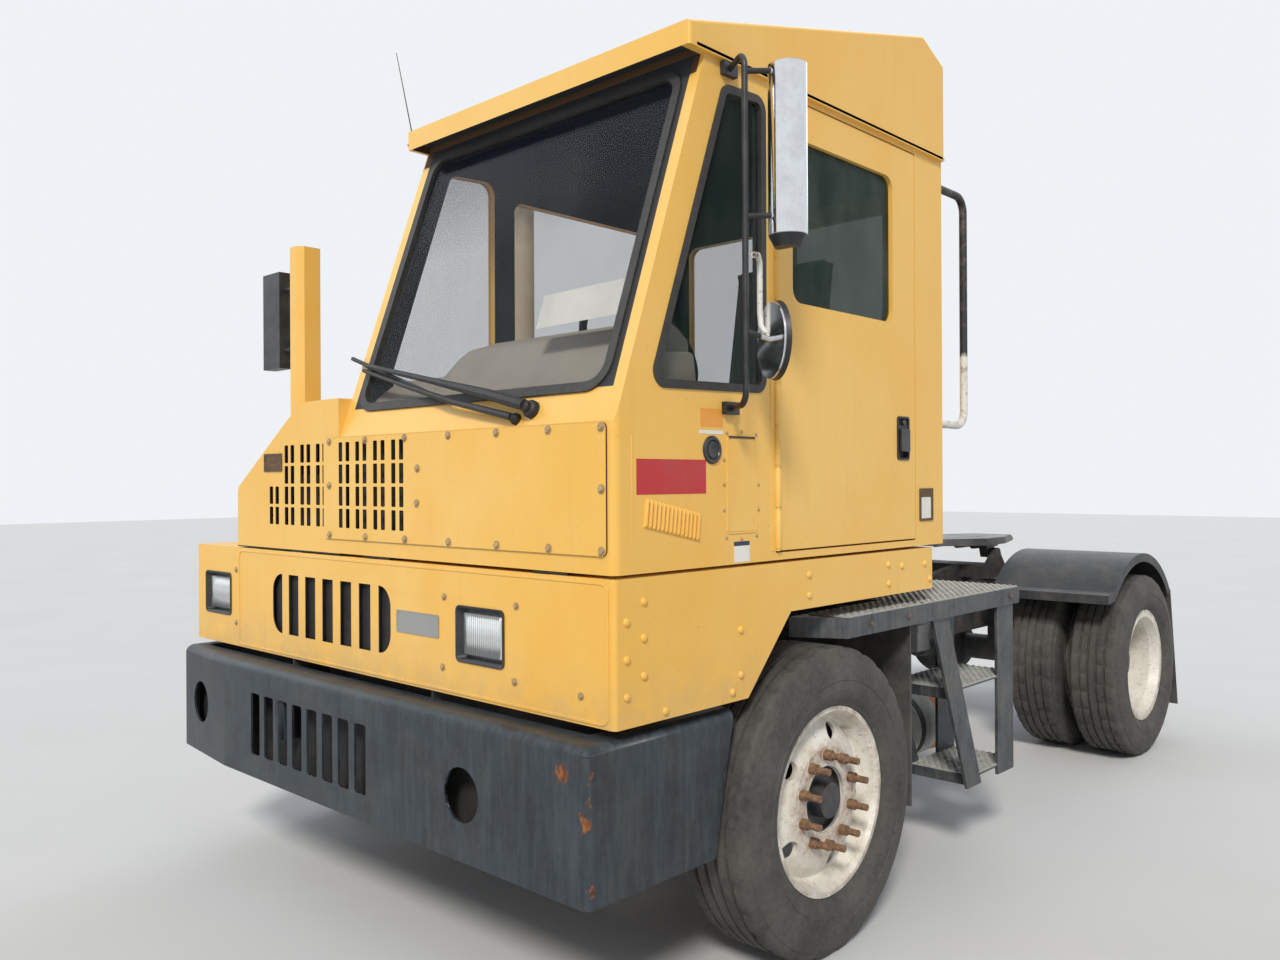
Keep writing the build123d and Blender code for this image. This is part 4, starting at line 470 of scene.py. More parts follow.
@painted
def mirror_paint(s):
    """Black tube, chromed head with its glass to the rear, a bright-rimmed round mirror below it."""
    x, y, z = s.axes()
    worn = s.patches(0.42, 0.75, 9.0, 7, 0.7)
    black = s.mix(s.times(worn, 0.4), (0.014, 0.015, 0.018), (0.10, 0.10, 0.105))
    blots = s.patches(0.42, 0.8, 14.0, 6, 0.7)
    bright = s.mix(s.times(blots, 0.35), (0.78, 0.79, 0.81), (0.22, 0.18, 0.14))
    head = s.times(s.within(z, 2.189, 2.667), s.ramp(s.distance((x, 1.392), (y, HEAD_Y)), 0.0585, 0.0575))
    glass_face = s.times(head, s.ramp(y, HEAD_Y - 0.0005, HEAD_Y))
    dx = s.minus(x, ROUND_AT[0])
    dy = s.minus(y, ROUND_AT[1])
    ahead = s.plus(s.times(dx, ROUND_LOOK[0]), s.times(dy, ROUND_LOOK[1]))
    across = s.minus(s.times(dx, ROUND_LOOK[1]), s.times(dy, ROUND_LOOK[0]))
    r = s.distance((across, 0.0), (z, ROUND_AT[2]))
    disc = s.times(s.ramp(r, 0.1075, 0.1065), s.within(ahead, -0.045, 0.06))
    shine = s.most(head, disc)
    base = s.mix(shine, black, bright)
    s.set(Base_Color=s.mix(glass_face, base, (0.70, 0.74, 0.78)))
    s.set(Metallic=shine)
    s.set(Roughness=s.minus(0.42, s.times(shine, 0.32)))
    s.bump(s.noise(60.0, 4, 0.6), 0.05, 0.0008)


@painted
def side_mirror_paint(s):
    """Black housing, bluish glass."""
    x, y, z = s.axes()
    worn = s.patches(0.42, 0.75, 9.0, 7, 0.7)
    base = s.mix(s.times(worn, 0.4), (0.014, 0.015, 0.018), (0.10, 0.10, 0.105))
    box_lo, box_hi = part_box("right_mirror")
    face = s.times(s.within(x, box_lo.x + 0.012, box_lo.x + 0.138, 0.001),
                   s.within(z, box_lo.z + 0.014, box_hi.z - 0.014, 0.001),
                   s.ramp(y, box_hi.y - 0.012, box_hi.y - 0.004))
    s.set(Base_Color=s.mix(face, base, (0.55, 0.66, 0.76)), Metallic=face)
    s.set(Roughness=s.minus(0.42, s.times(face, 0.36)))
    s.bump(s.noise(200.0, 3, 0.6), 0.1, 0.0006)


@painted
def dash_paint(s):
    """Sun-bleached padded top; the front and the duct side painted dark as shade."""
    x, y, z = s.axes()
    blotch = s.patches(0.36, 0.72, 5.0, 7, 0.7)
    top = s.mix(blotch, (0.42, 0.385, 0.32), (0.33, 0.29, 0.23))
    dark = s.mix(blotch, (0.035, 0.036, 0.038), (0.07, 0.066, 0.06))
    # Only the top keeps its beige; the rest is painted shade.
    high = s.times(s.ramp(z, 1.652, 1.660), s.ramp(y, DASH_BACK_Y - 0.03, DASH_BACK_Y - 0.06))
    s.set(Base_Color=s.mix(high, dark, top), Roughness=0.82)
    s.bump(s.plus(s.noise(380.0, 3, 0.6), s.times(s.noise(9.0, 4, 0.6), 1.5)), 0.3, 0.0009)


@painted
def handle_paint(s):
    """Tube painted black above and white below, chipped between."""
    x, y, z = s.axes()
    low = s.ramp(s.plus(z, s.times(s.noise(30.0, 5, 0.6), 0.05)), 2.03, 2.01)
    worn = s.patches(0.50, 0.62, 30.0, 7, 0.7)
    black = s.mix(s.times(worn, 0.6), (0.015, 0.016, 0.018), (0.14, 0.11, 0.08))
    white = s.mix(s.times(worn, 0.7), (0.70, 0.68, 0.62), (0.28, 0.22, 0.16))
    s.set(Base_Color=s.mix(low, black, white), Roughness=0.5)
    s.bump(s.noise(150.0, 4, 0.7), 0.15, 0.0007)


front_wheel_paint = wheel_material("front_wheel_paint", FRONT_AXLE_Y, FRONT_WHEEL_X + 0.084, 0.104)
rear_wheel_paint = wheel_material("rear_wheel_paint", REAR_AXLE_Y, TWIN_X + 0.014, 0.104)
grating = metal("grating", (0.50, 0.50, 0.47), 0.55, (0.16, 0.14, 0.11), 0.6, metallic=0.2, scale=30.0)

# Materials of the CAD model's nodes
for material, names in (
        (frame_black, "frame_rails radiator front_axle rear_axle lift_boom"), (bumper_black, "front_bumper"),
        (body_paint, "front_skirt intake_post"), (black_plastic, "lamp_boxes door_handle"), (lamp_lens, "headlamps"),
        (cast_iron, "engine_block front_springs drive_shaft knuckle_left knuckle_right tie_rod"),
        (step_black, "rear_deck side_platform side_steps"),
        (black_metal, "fuel_tank battery_box door_tracks lift_barrels"), (stack_paint, "exhaust_stack"),
        (fender_black, "rear_fenders"), (flap_rubber, "mud_flaps"), (lamp_red, "tail_lamps"),
        (side_mirror_paint, "right_mirror"), (cab_paint, "cab_shell rear_door"), (roof_paint, "cab_roof"),
        (hood_paint, "engine_hood"), (panel_paint, "front_panel"), (seal_rubber, "screen_seal"),
        (screen_glass, "windscreen"), (side_glass, "cab_glass rear_door_glass"), (dash_paint, "dashboard"),
        (wheel_plastic, "steering_wheel"), (seat_cloth, "driver_seat"), (mirror_paint, "left_mirror"),
        (handle_paint, "grab_handle"), (door_paint, "driver_door"), (door_pane, "door_glass"),
        (tyre_rubber, "front_tyre_left front_tyre_right rear_tyres_left rear_tyres_right"),
        (front_wheel_paint, "front_rim_left front_rim_right"), (rear_wheel_paint, "rear_rims_left rear_rims_right"),
        (grease_steel, "fifth_wheel"), (zinc, "lift_rods")):
    for name in names.split():
        node[name].data.materials.clear()
        node[name].data.materials.append(material)


# Mesh building
def aim(normal):
    """A turn that takes +Z to the given direction."""
    return Vector(normal).normalized().to_track_quat("Z", "Y").to_matrix().to_4x4()


def linked(name, data):
    """A new object, in the scene."""
    thing = bpy.data.objects.new(name, data)
    scene.collection.objects.link(thing)
    return thing


def placed(axis, pair, along):
    """A point from its two places across an axis and its place along it."""
    a, b = pair
    return {"x": (along, a, b), "y": (a, along, b), "z": (a, b, along)}[axis]


def evaluated(form):
    """The mesh that a form's modifiers make of it."""
    return bpy.data.meshes.new_from_object(form.evaluated_get(bpy.context.evaluated_depsgraph_get()))


class Piece:
    """A mesh gathered from many small forms."""

    def __init__(self):
        self.bm = bmesh.new()

    def ring(self, points):
        return [self.bm.verts.new(p) for p in points]

    def bridge(self, rings, round_again=False):
        """Faces from each ring of points to the next: closed at both ends, or on from the last to the first."""
        for a, b in zip(rings, rings[1:] + (rings[:1] if round_again else [])):
            for k in range(len(a)):
                j = (k + 1) % len(a)
                self.bm.faces.new((a[k], a[j], b[j], b[k]))
        if not round_again:
            self.bm.faces.new(list(reversed(rings[0])))
            self.bm.faces.new(rings[-1])

    def box(self, lo, hi):
        centre = (Vector(lo) + Vector(hi)) / 2
        size = Vector(hi) - Vector(lo)
        turn = Matrix.Translation(centre) @ Matrix.Diagonal((*size, 1.0))
        bmesh.ops.create_cube(self.bm, size=1.0, matrix=turn)

    def lathe(self, at, normal, profile, sides=16):
        """A form turned about normal through at: pairs of radius and height, closed at both ends."""
        place = Matrix.Translation(Vector(at)) @ aim(normal)
        rings = []
        for r, h in profile:
            if r < 1e-6:
                rings.append(self.ring([place @ Vector((0, 0, h))]))
                continue
            rings.append(self.ring(place @ Vector((r * math.cos(2 * math.pi * i / sides),
                                                   r * math.sin(2 * math.pi * i / sides), h)) for i in range(sides)))
        for a, b in zip(rings, rings[1:]):
            for i in range(sides):
                j = (i + 1) % sides
                if len(a) == 1:
                    self.bm.faces.new((a[0], b[i], b[j]))
                elif len(b) == 1:
                    self.bm.faces.new((a[i], a[j], b[0]))
                else:
                    self.bm.faces.new((a[i], a[j], b[j], b[i]))
        for ring, flip in ((rings[0], True), (rings[-1], False)):
            if len(ring) > 1:
                self.bm.faces.new(list(reversed(ring)) if flip else ring)

    def bolt(self, at, normal, r=0.009, washer=1.5):
        """Hexagonal head on a washer."""
        self.lathe(at, normal, [(r * washer, -0.001), (r * washer, r * 0.22), (r * 0.5, r * 0.22)], 14)
        self.lathe(at, normal, [(r * 0.98, r * 0.2), (r, r * 0.35), (r, r * 0.75), (r * 0.86, r * 0.92)], 6)

    def rivet(self, at, normal, r=0.007):
        """Round head."""
        self.lathe(at, normal, [(r, -0.001), (r, r * 0.15), (r * 0.86, r * 0.42), (r * 0.5, r * 0.62),
                                (0, r * 0.68)], 12)

    def prism(self, outline, axis, low, high):
        """An outline of pairs, extruded along an axis between two limits."""
        self.bridge([self.ring(placed(axis, p, h) for p in outline) for h in (low, high)])

    def frame(self, outline, hole, axis, low, high):
        """An outline with a hole of as many points, extruded along an axis."""
        self.bridge([self.ring(placed(axis, p, h) for p in line) for line, h in
                     ((outline, low), (outline, high), (hole, high), (hole, low))], round_again=True)

    def tube(self, points, r, sides=10):
        """A round bar along points, with flat ends."""
        pts = [Vector(p) for p in points]
        rings = []
        up = None
        for i, p in enumerate(pts):
            ahead = pts[min(i + 1, len(pts) - 1)] - pts[max(i - 1, 0)]
            ahead.normalize()
            if up is None:
                up = ahead.orthogonal().normalized()
            up = (up - ahead * up.dot(ahead)).normalized()
            side = ahead.cross(up)
            radius = r[i] if isinstance(r, (list, tuple)) else r
            rings.append(self.ring(p + (up * math.cos(2 * math.pi * k / sides) +
                                        side * math.sin(2 * math.pi * k / sides)) * radius for k in range(sides)))
        self.bridge(rings)

    def mesh(self, name="form"):
        """The mesh, with its faces turned outwards. The piece is used up."""
        bmesh.ops.recalc_face_normals(self.bm, faces=self.bm.faces[:])
        mesh = bpy.data.meshes.new(name)
        self.bm.to_mesh(mesh)
        self.bm.free()
        return mesh

    def finish(self, name, material, body, slot, smooth=40.0, bevel=0.0, flat=False):
        """Makes the object, with soft edges and on its body. flat keeps large faces evenly lit."""
        mesh = self.mesh(name)
        mesh.materials.append(material)
        for face in mesh.polygons:
            face.use_smooth = True
        mesh.set_sharp_from_angle(angle=math.radians(smooth))
        piece = linked(name, mesh)
        if bevel:
            cut = piece.modifiers.new("edge", "BEVEL")
            cut.width = bevel
            cut.segments = 2
            cut.angle_limit = math.radians(50)
        if flat:
            even = piece.modifiers.new("even", "WEIGHTED_NORMAL")
            even.keep_sharp = True
            even.weight = 100
        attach(piece, body)
        return piece


def rounded(lo, hi, r, steps=6):
    """A rectangle's outline with round corners."""
    out = []
    for cx, cz, start in ((hi[0] - r, hi[1] - r, 0), (lo[0] + r, hi[1] - r, 90), (lo[0] + r, lo[1] + r, 180),
                          (hi[0] - r, lo[1] + r, 270)):
        for k in range(steps + 1):
            a = math.radians(start + 90 * k / steps)
            out.append((cx + r * math.cos(a), cz + r * math.sin(a)))
    return out


# Forms made here after the CAD's last round, each for the solid that it replaces. LEAN is the slope of the CAD
# body's right end, straightened here.
LEAN = 0.044 / (HOOD_RIGHT_X - BODY_RIGHT_X)
RIGHT_LAMP_X = -1.016
LENS_BACK_Y = FACE_Y + 0.102
LENS_STRETCH = 92 / 68


def solid_of(source):
    """A copy of a CAD solid's mesh, joined at its edges."""
    p = Piece()
    p.bm.from_mesh(node[source].data)
    bmesh.ops.remove_doubles(p.bm, verts=p.bm.verts[:], dist=1e-5)
    return p


def carve(p, cutters):
    """Takes the cutters' volume out of a piece."""
    forms = [linked("form", form.mesh()) for form in (p, cutters)]
    cut = forms[0].modifiers.new("cut", "BOOLEAN")
    cut.operation = "DIFFERENCE"
    cut.solver = "EXACT"
    cut.object = forms[1]
    p.bm = bmesh.new()
    p.bm.from_mesh(evaluated(forms[0]))
    for form in forms:
        bpy.data.objects.remove(form)
    return p


# Front body: flat to its right end, both front corners rounded
p = solid_of("front_skirt")
for v in p.bm.verts:
    sweep = LEAN * (HOOD_RIGHT_X - v.co.x)
    if sweep > 0 and v.co.y < FACE_Y + sweep + 0.022:
        v.co.y -= sweep
corner = [e for e in p.bm.edges if all(abs(v.co.x - BODY_RIGHT_X) < 5e-4 and abs(v.co.y - FACE_Y) < 5e-4
                                       for v in e.verts)]
bmesh.ops.bevel(p.bm, geom=corner, offset=0.014, segments=5, profile=0.5, affect="EDGES")
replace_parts(p.finish("front_body", body_paint, "chassis", "yellow_paint", flat=True), "front_skirt")

# Lamps: the right one square to the front
for source, name, material, slot_name in (("lamp_boxes", "lamp_housings", black_plastic, "black_plastic"),
                                          ("headlamps", "lamp_lenses", lamp_lens, "lamp_glass")):
    p = solid_of(source)
    setback = Vector((0, LEAN * (HOOD_RIGHT_X - RIGHT_LAMP_X), 0))
    pivot = Vector((RIGHT_LAMP_X, FACE_Y, 0)) + setback
    straight = Matrix.Translation(pivot - setback) @ Matrix.Rotation(math.atan(LEAN), 4, "Z") @ \
        Matrix.Translation(-pivot)
    for v in p.bm.verts:
        if v.co.x < HOOD_RIGHT_X:
            v.co = straight @ v.co
        if source == "headlamps":
            v.co.y = LENS_BACK_Y - (LENS_BACK_Y - v.co.y) * LENS_STRETCH
    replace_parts(p.finish(name, material, "chassis", slot_name), source)

# Bumper: wide tow holes
cutters = Piece()
for x, z, r in ((-1.036, 0.638, 0.081), (0.697, 0.626, 0.078)):
    cutters.lathe((x, -2.53, z), REAR_OUT, [(r, 0), (r, 0.12)], 48)
p = carve(solid_of("front_bumper"), cutters)
mitre = [e for e in p.bm.edges
         if all(abs((v.co.x - BUMPER_X) + (v.co.y - BUMPER_Y)) < 1e-3 and v.co.x > BUMPER_X - 0.040 for v in e.verts)
         and min((v.co - Vector((BUMPER_X, BUMPER_Y, v.co.z))).length for v in e.verts) < 1e-3]
bmesh.ops.bevel(p.bm, geom=mitre, offset=0.020, segments=5, profile=0.5, affect="EDGES")
for v in p.bm.verts:
    v.co.y = max(v.co.y, BUMPER_Y)
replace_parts(p.finish("bumper_plate", bumper_black, "chassis", "black_paint", flat=True), "front_bumper")


# Hood: folded sheet with rounded folds and its slots
def folded(points, folds, steps=8):
    """A closed outline with some corners rounded: folds pairs a corner's number and its radius."""
    out = []
    n = len(points)
    for i, point in enumerate(points):
        here = Vector(point)
        if i not in folds:
            out.append(tuple(here))
            continue
        before = (Vector(points[i - 1]) - here).normalized()
        after = (Vector(points[(i + 1) % n]) - here).normalized()
        half = before.angle(after) / 2
        reach = folds[i] / math.tan(half)
        centre = here + (before + after).normalized() * (folds[i] / math.sin(half))
        start, stop = here + before * reach - centre, here + after * reach - centre
        swing = start.angle_signed(stop)
        for k in range(steps + 1):
            a = -swing * k / steps
            out.append((centre.x + start.x * math.cos(a) - start.y * math.sin(a),
                        centre.y + start.x * math.sin(a) + start.y * math.cos(a)))
    return out


p = Piece()
p.prism(folded([(HOOD_RIGHT_X, 1.262), (HOOD_RIGHT_X, 1.489), (-0.447, 1.741), (-0.326, 1.796), (-0.100, 1.796),
                (-0.100, 1.262)], {1: 0.032, 2: 0.060, 3: 0.060}), "y", FACE_Y, HOOD_REAR_Y)
cutters = Piece()
cutters.prism(folded([(HOOD_RIGHT_X + 0.02, 1.20), (HOOD_RIGHT_X + 0.02, 1.478), (-0.438, 1.723), (-0.322, 1.776),
                      (-0.120, 1.776), (-0.120, 1.20)], {1: 0.014, 2: 0.040, 3: 0.040}), "y", FACE_Y + 0.006,
              HOOD_REAR_Y - 0.02)
p = carve(p, cutters)
cutters = Piece()
for x, rows in ((-0.554, 2), (-0.440, 4), (-0.326, 4), (-0.217, 4)):
    for row in range(rows):
        for side in (-0.022, 0.022):
            z = 1.387 + 0.075 * row
            cutters.prism(rounded((x + side - 0.013, z - 0.0325), (x + side + 0.013, z + 0.0325), 0.004, 3), "y",
                          FACE_Y - 0.01, FACE_Y + 0.012)
p = carve(p, cutters)
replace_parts(p.finish("hood_sheet", hood_paint, "cab", "yellow_paint", flat=True), "engine_hood")

# Tyres: worn ribs and blocks, cut from the turned outline of the CAD tyre
TYRE_R = 0.488
BEAD_R = 0.2925


def tyre_piece(name, centres, axle_y, body, replaced, lugs):
    p = Piece()
    segments = 120
    outer = [(0.0, 0), (0.014, 0), (0.016, 1), (0.026, 1), (0.028, 0), (0.056, 0), (0.058, 1), (0.068, 1), (0.070, 0),
             (0.094, 0)]
    wall = [(0.104, 0.4855), (0.113, 0.478), (0.1165, 0.468), (0.121, 0.458), (0.1245, 0.4565), (0.129, 0.445),
            (0.1345, 0.425), (0.1375, 0.400), (0.1378, 0.385), (0.1355, 0.383), (0.1355, 0.358), (0.1375, 0.356),
            (0.134, 0.338), (0.124, 0.318), (0.1175, 0.314), (0.112, 0.303), (0.100, BEAD_R + 0.006), (0.092, BEAD_R)]
    profile = [(a, TYRE_R - 0.0105 * deep, "tread" if not deep else "groove") for a, deep in outer]
    profile += [(a, r, "shoulder" if r > 0.466 else "wall") for a, r in wall]
    full = [(-a, r, kind) for a, r, kind in reversed(profile[1:])] + profile
    for cx in centres:
        rings = []
        for k in range(segments):
            angle = 2 * math.pi * k / segments
            ring = []
            for a, r, kind in full:
                sunk = 0.0
                if kind in ("tread", "shoulder") and abs(a) > (0.027 if lugs else 0.069):
                    sunk = 0.009 if (k + (1 if a > 0 else 0) * 2) % 4 == 0 else 0.0
                    if kind == "shoulder":
                        sunk *= 0.6
                ring.append((cx + a, axle_y + (r - sunk) * math.cos(angle), HUB_Z + (r - sunk) * math.sin(angle)))
            rings.append(p.ring(ring))
        p.bridge(rings, round_again=True)
    piece = p.finish(name, tyre_rubber, body, "tyre", 32.0)
    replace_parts(piece, replaced)


for side, tail in ((1, "left"), (-1, "right")):
    tyre_piece(f"steer_tyre_{tail}", [side * FRONT_WHEEL_X], FRONT_AXLE_Y, f"front_wheel_{tail[0]}",
               f"front_tyre_{tail}", False)
    tyre_piece(f"twin_tyres_{tail}", [side * (TWIN_X - TWIN_HALF), side * (TWIN_X + TWIN_HALF)], REAR_AXLE_Y,
               f"rear_wheels_{tail[0]}", f"rear_tyres_{tail}", True)


def on_screen(x, s, off=0.0):
    """A point on the windscreen's plane: s up its slope, off outwards."""
    run, rise = SCREEN_TOP_Y - SCREEN_BASE_Y, ROOF_Z - BELT_Z
    length = math.hypot(run, rise)
    up_y, up_z = run / length, rise / length
    return Vector((x, SCREEN_BASE_Y + s * up_y - off * up_z, BELT_Z + s * up_z + off * up_y))


# Front of the cab: bolts of the panel and blank plates
p = Piece()
for x in (-0.150, 0.075, 0.302, 0.530, 0.757, 0.978, 1.181):
    p.bolt((x, PANEL_Y, PANEL_Z[1] - 0.012), FRONT_OUT, 0.0085)
    p.bolt((x, PANEL_Y, PANEL_Z[0] + 0.013), FRONT_OUT, 0.0085)
for x, z in ((1.181, 1.489), (-0.150, 1.498), (0.371, 1.551), (0.367, 1.443)):
    p.bolt((x, PANEL_Y, z), FRONT_OUT, 0.0085)
p.finish("panel_bolts", dull_bolt, "cab", "plate_steel")

p = Piece()
p.frame(rounded((-0.628, 1.549), (-0.492, 1.616), 0.004), rounded((-0.621, 1.556), (-0.499, 1.609), 0.003), "y",
        FACE_Y - 0.0032, FACE_Y)
p.prism(rounded((-0.624, 1.552), (-0.496, 1.613), 0.003), "y", FACE_Y - 0.0014, FACE_Y)
for x in (-0.617, -0.503):
    p.rivet((x, FACE_Y - 0.0014, 1.5825), FRONT_OUT, 0.004)
p.finish("hood_plate", bronze_plate, "cab", "plate_steel")

# Lower body: bolts, pressed edge, a blank plate
p = Piece()
for x, z in ((0.499, 1.163), (0.834, 1.161), (0.490, 0.950), (0.826, 0.948), (1.095, 0.946), (-0.862, 1.169),
             (-0.864, 0.962)):
    p.bolt((x, FACE_Y, z), FRONT_OUT, 0.0075)
p.finish("skirt_bolts", dull_bolt, "chassis", "plate_steel")

p = Piece()
p.frame(rounded((-0.842, 0.879), (1.199, 1.250), 0.030), rounded((-0.834, 0.887), (1.191, 1.242), 0.023), "y",
        FACE_Y - 0.0022, FACE_Y)
p.finish("pressed_edge", body_paint, "chassis", "yellow_paint", bevel=0.0009)

p = Piece()
p.prism(rounded((0.246, 1.034), (0.471, 1.104), 0.004), "y", FACE_Y - 0.0016, FACE_Y)
p.frame(rounded((0.246, 1.034), (0.471, 1.104), 0.004), rounded((0.250, 1.038), (0.467, 1.100), 0.003), "y",
        FACE_Y - 0.0024, FACE_Y - 0.001)
for x in (0.255, 0.462):
    for z in (1.043, 1.095):
        p.rivet((x, FACE_Y - 0.0016, z), FRONT_OUT, 0.003)
p.finish("front_plate", grey_plate, "chassis", "plate_steel")

# Round-headed bolts along the side of the lower body
p = Piece()
for y, z in ((-2.296, 1.194), (-2.361, 1.146), (-2.296, 1.099), (-2.361, 1.049), (-2.296, 1.000), (-2.361, 0.953),
             (-2.213, 0.894), (-1.885, 1.076), (-1.885, 0.945), (-1.924, 0.900), (-1.533, 1.211), (-1.533, 1.146),
             (-1.045, 1.212), (-1.045, 1.145), (-0.952, 1.202), (-0.786, 1.200), (-0.746, 1.141)):
    p.rivet((SIDE_X, y, z), SIDE_OUT, 0.012)
for y, z in ((-2.296, 1.194), (-2.361, 1.146), (-2.296, 1.000), (-1.885, 1.076), (-1.533, 1.180), (-0.850, 1.200)):
    p.rivet((BODY_RIGHT_X, y, z), RIGHT_OUT, 0.012)
p.finish("side_rivets", body_paint, "chassis", "yellow_paint")

# Left side of the cab: access panel, port, slanted vent, plates
p = Piece()
p.frame(rounded((-1.947, 1.355), (-1.806, 1.635), 0.014), rounded((-1.942, 1.360), (-1.811, 1.630), 0.010), "x",
        SIDE_X - 0.001, SIDE_X + 0.0026)
p.prism(rounded((-1.941, 1.361), (-1.812, 1.629), 0.010), "x", SIDE_X - 0.001, SIDE_X + 0.0014)
p.prism([(-2.3395, 1.30), (-2.3345, 1.30), (-2.3345, 1.63), (-2.3395, 1.63)], "x", SIDE_X - 0.001, SIDE_X + 0.0010)
p.finish("access_panel", cab_paint, "cab", "yellow_paint", bevel=0.0008)

p = Piece()
p.prism([(-1.938, 1.6305), (-1.815, 1.6305), (-1.815, 1.6365), (-1.938, 1.6365)], "x", SIDE_X - 0.001, SIDE_X + 0.0031)
p.finish("access_slot", seal_rubber, "cab", "black_rubber")

p = Piece()
for y, z in ((-1.945, 1.645), (-1.876, 1.650), (-1.807, 1.644), (-1.958, 1.568), (-1.958, 1.497), (-1.958, 1.424),
             (-1.948, 1.345), (-1.878, 1.339), (-1.806, 1.346), (-1.796, 1.496), (-1.796, 1.423)):
    p.rivet((SIDE_X, y, z), SIDE_OUT, 0.0055)
p.finish("access_screws", dull_bolt, "cab", "plate_steel")

p = Piece()
p.lathe((SIDE_X, -2.012, 1.595), SIDE_OUT, [(0.040, -0.002), (0.040, 0.003), (0.036, 0.0065), (0.029, 0.0065),
                                            (0.026, 0.003), (0.0255, 0.0012)], 40)
p.lathe((SIDE_X, -2.012, 1.595), SIDE_OUT, [(0.024, 0.0), (0.024, 0.0045), (0.020, 0.0062), (0.016, 0.0045),
                                            (0.006, 0.003)], 32)
p.finish("side_port", port_plastic, "cab", "black_plastic")

p = Piece()
a, b, c = Vector((-2.289, 1.466)), Vector((-2.064, 1.420)), Vector((-2.298, 1.385))
for k in range(14):
    start = a + (b - a) * ((k + 0.12) / 14)
    stop = start + (c - a)
    wide = (b - a) * (0.62 / 14)
    low = [(SIDE_X - 0.001, *q) for q in (start, start + wide, stop + wide, stop)]
    mid = (start + wide * 0.5) * 0.93 + (stop + wide * 0.5) * 0.07
    end = (start + wide * 0.5) * 0.10 + (stop + wide * 0.5) * 0.90
    top = [(SIDE_X + 0.009, *q) for q in (mid - wide * 0.25, mid + wide * 0.25, end + wide * 0.3, end - wide * 0.3)]
    p.bridge([p.ring(low), p.ring(top)])
p.finish("side_vent", vent_paint, "cab", "yellow_paint", bevel=0.0012)

# Blank plates and labels: corners, corner radius and height of each
for name, material, slot_name, plates in (
        ("red_plate", red_plate, "yellow_paint", [((-2.321, 1.473), (-2.039, 1.567), 0.002, 0.0008)]),
        ("orange_patch", orange_patch, "yellow_paint", [((-2.062, 1.660), (-1.962, 1.711), 0.002, 0.0006)]),
        ("blank_labels", white_plate, "white_paint", [((-2.068, 1.640), (-1.963, 1.650), 0.001, 0.0007),
                                                      ((-1.914, 1.272), (-1.841, 1.319), 0.001, 0.0007),
                                                      ((-0.812, 1.366), (-0.740, 1.444), 0.004, 0.0032)]),
        ("label_band", navy_plate, "black_paint", [((-1.914, 1.3195), (-1.841, 1.332), 0.001, 0.0007)])):
    p = Piece()
    for lo, hi, corner_r, height in plates:
        p.prism(rounded(lo, hi, corner_r), "x", SIDE_X - 0.0005, SIDE_X + height)
    p.finish(name, material, "cab", slot_name)
p = Piece()
p.frame(rounded((-0.822, 1.357), (-0.722, 1.476), 0.004), rounded((-0.812, 1.366), (-0.740, 1.444), 0.004), "x",
        SIDE_X - 0.0005, SIDE_X + 0.0045)
p.finish("marker_frame", bronze_plate, "cab", "plate_steel", bevel=0.0008)

# Drip rail under the roof's side edges
for side, x in ((1, SIDE_X + 0.015), (-1, -0.100)):
    p = Piece()
    lo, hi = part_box("cab_roof")
    inner = x - side * 0.004
    p.prism([(inner, ROOF_Z + 0.002), (x, ROOF_Z + 0.002), (x, ROOF_Z + 0.014), (inner, ROOF_Z + 0.014)], "y",
            lo.y + 0.03, hi.y)
    p.finish(f"drip_rail_{'left' if side > 0 else 'right'}", roof_paint, "cab", "yellow_paint", bevel=0.0015)

# Blank paper behind the windscreen
p = Piece()
inner = -0.0115
quad = [on_screen(0.786, 0.309, inner), on_screen(1.121, 0.316, inner), on_screen(1.115, 0.424, inner),
        on_screen(0.784, 0.416, inner)]
p.bridge([p.ring(quad), p.ring(v + Vector((0, 0.944, -0.329)) * 0.0006 for v in quad)])
p.finish("screen_card", white_plate, "cab", "white_paint")

# Wiper: a pivot, two parallel arms and a blade parked low on the glass
p = Piece()
pivot = on_screen(0.885, 0.045, 0.0)
out = (on_screen(0, 0, 1.0) - on_screen(0, 0, 0.0)).normalized()
p.lathe(pivot - out * 0.004, out, [(0.026, 0), (0.026, 0.018), (0.021, 0.026), (0.015, 0.028), (0.015, 0.040),
                                   (0.010, 0.044), (0.0, 0.045)], 24)
p.lathe(on_screen(0.825, 0.020, -0.004), out, [(0.017, 0), (0.017, 0.014), (0.012, 0.022), (0.007, 0.030),
                                               (0, 0.031)], 18)
p.tube([on_screen(0.885, 0.047, 0.034), on_screen(0.72, 0.085, 0.045), on_screen(0.40, 0.155, 0.040),
        on_screen(-0.02, 0.245, 0.030)], [0.017, 0.016, 0.010, 0.008], 8)
p.tube([on_screen(0.825, 0.020, 0.022), on_screen(0.55, 0.075, 0.036), on_screen(0.20, 0.165, 0.032),
        on_screen(-0.03, 0.228, 0.028)], [0.011, 0.010, 0.008, 0.007], 8)
p.finish("wiper_arms", wiper_black, "cab", "black_paint")

p = Piece()
ends = (Vector((-0.150, 0.288)), Vector((0.500, 0.085)))
blade_run = ends[1] - ends[0]


def blade(t, off, side=0.0):
    q = ends[0] + blade_run * t
    return on_screen(q.x - side * blade_run.y / blade_run.length, q.y + side * blade_run.x / blade_run.length, off)


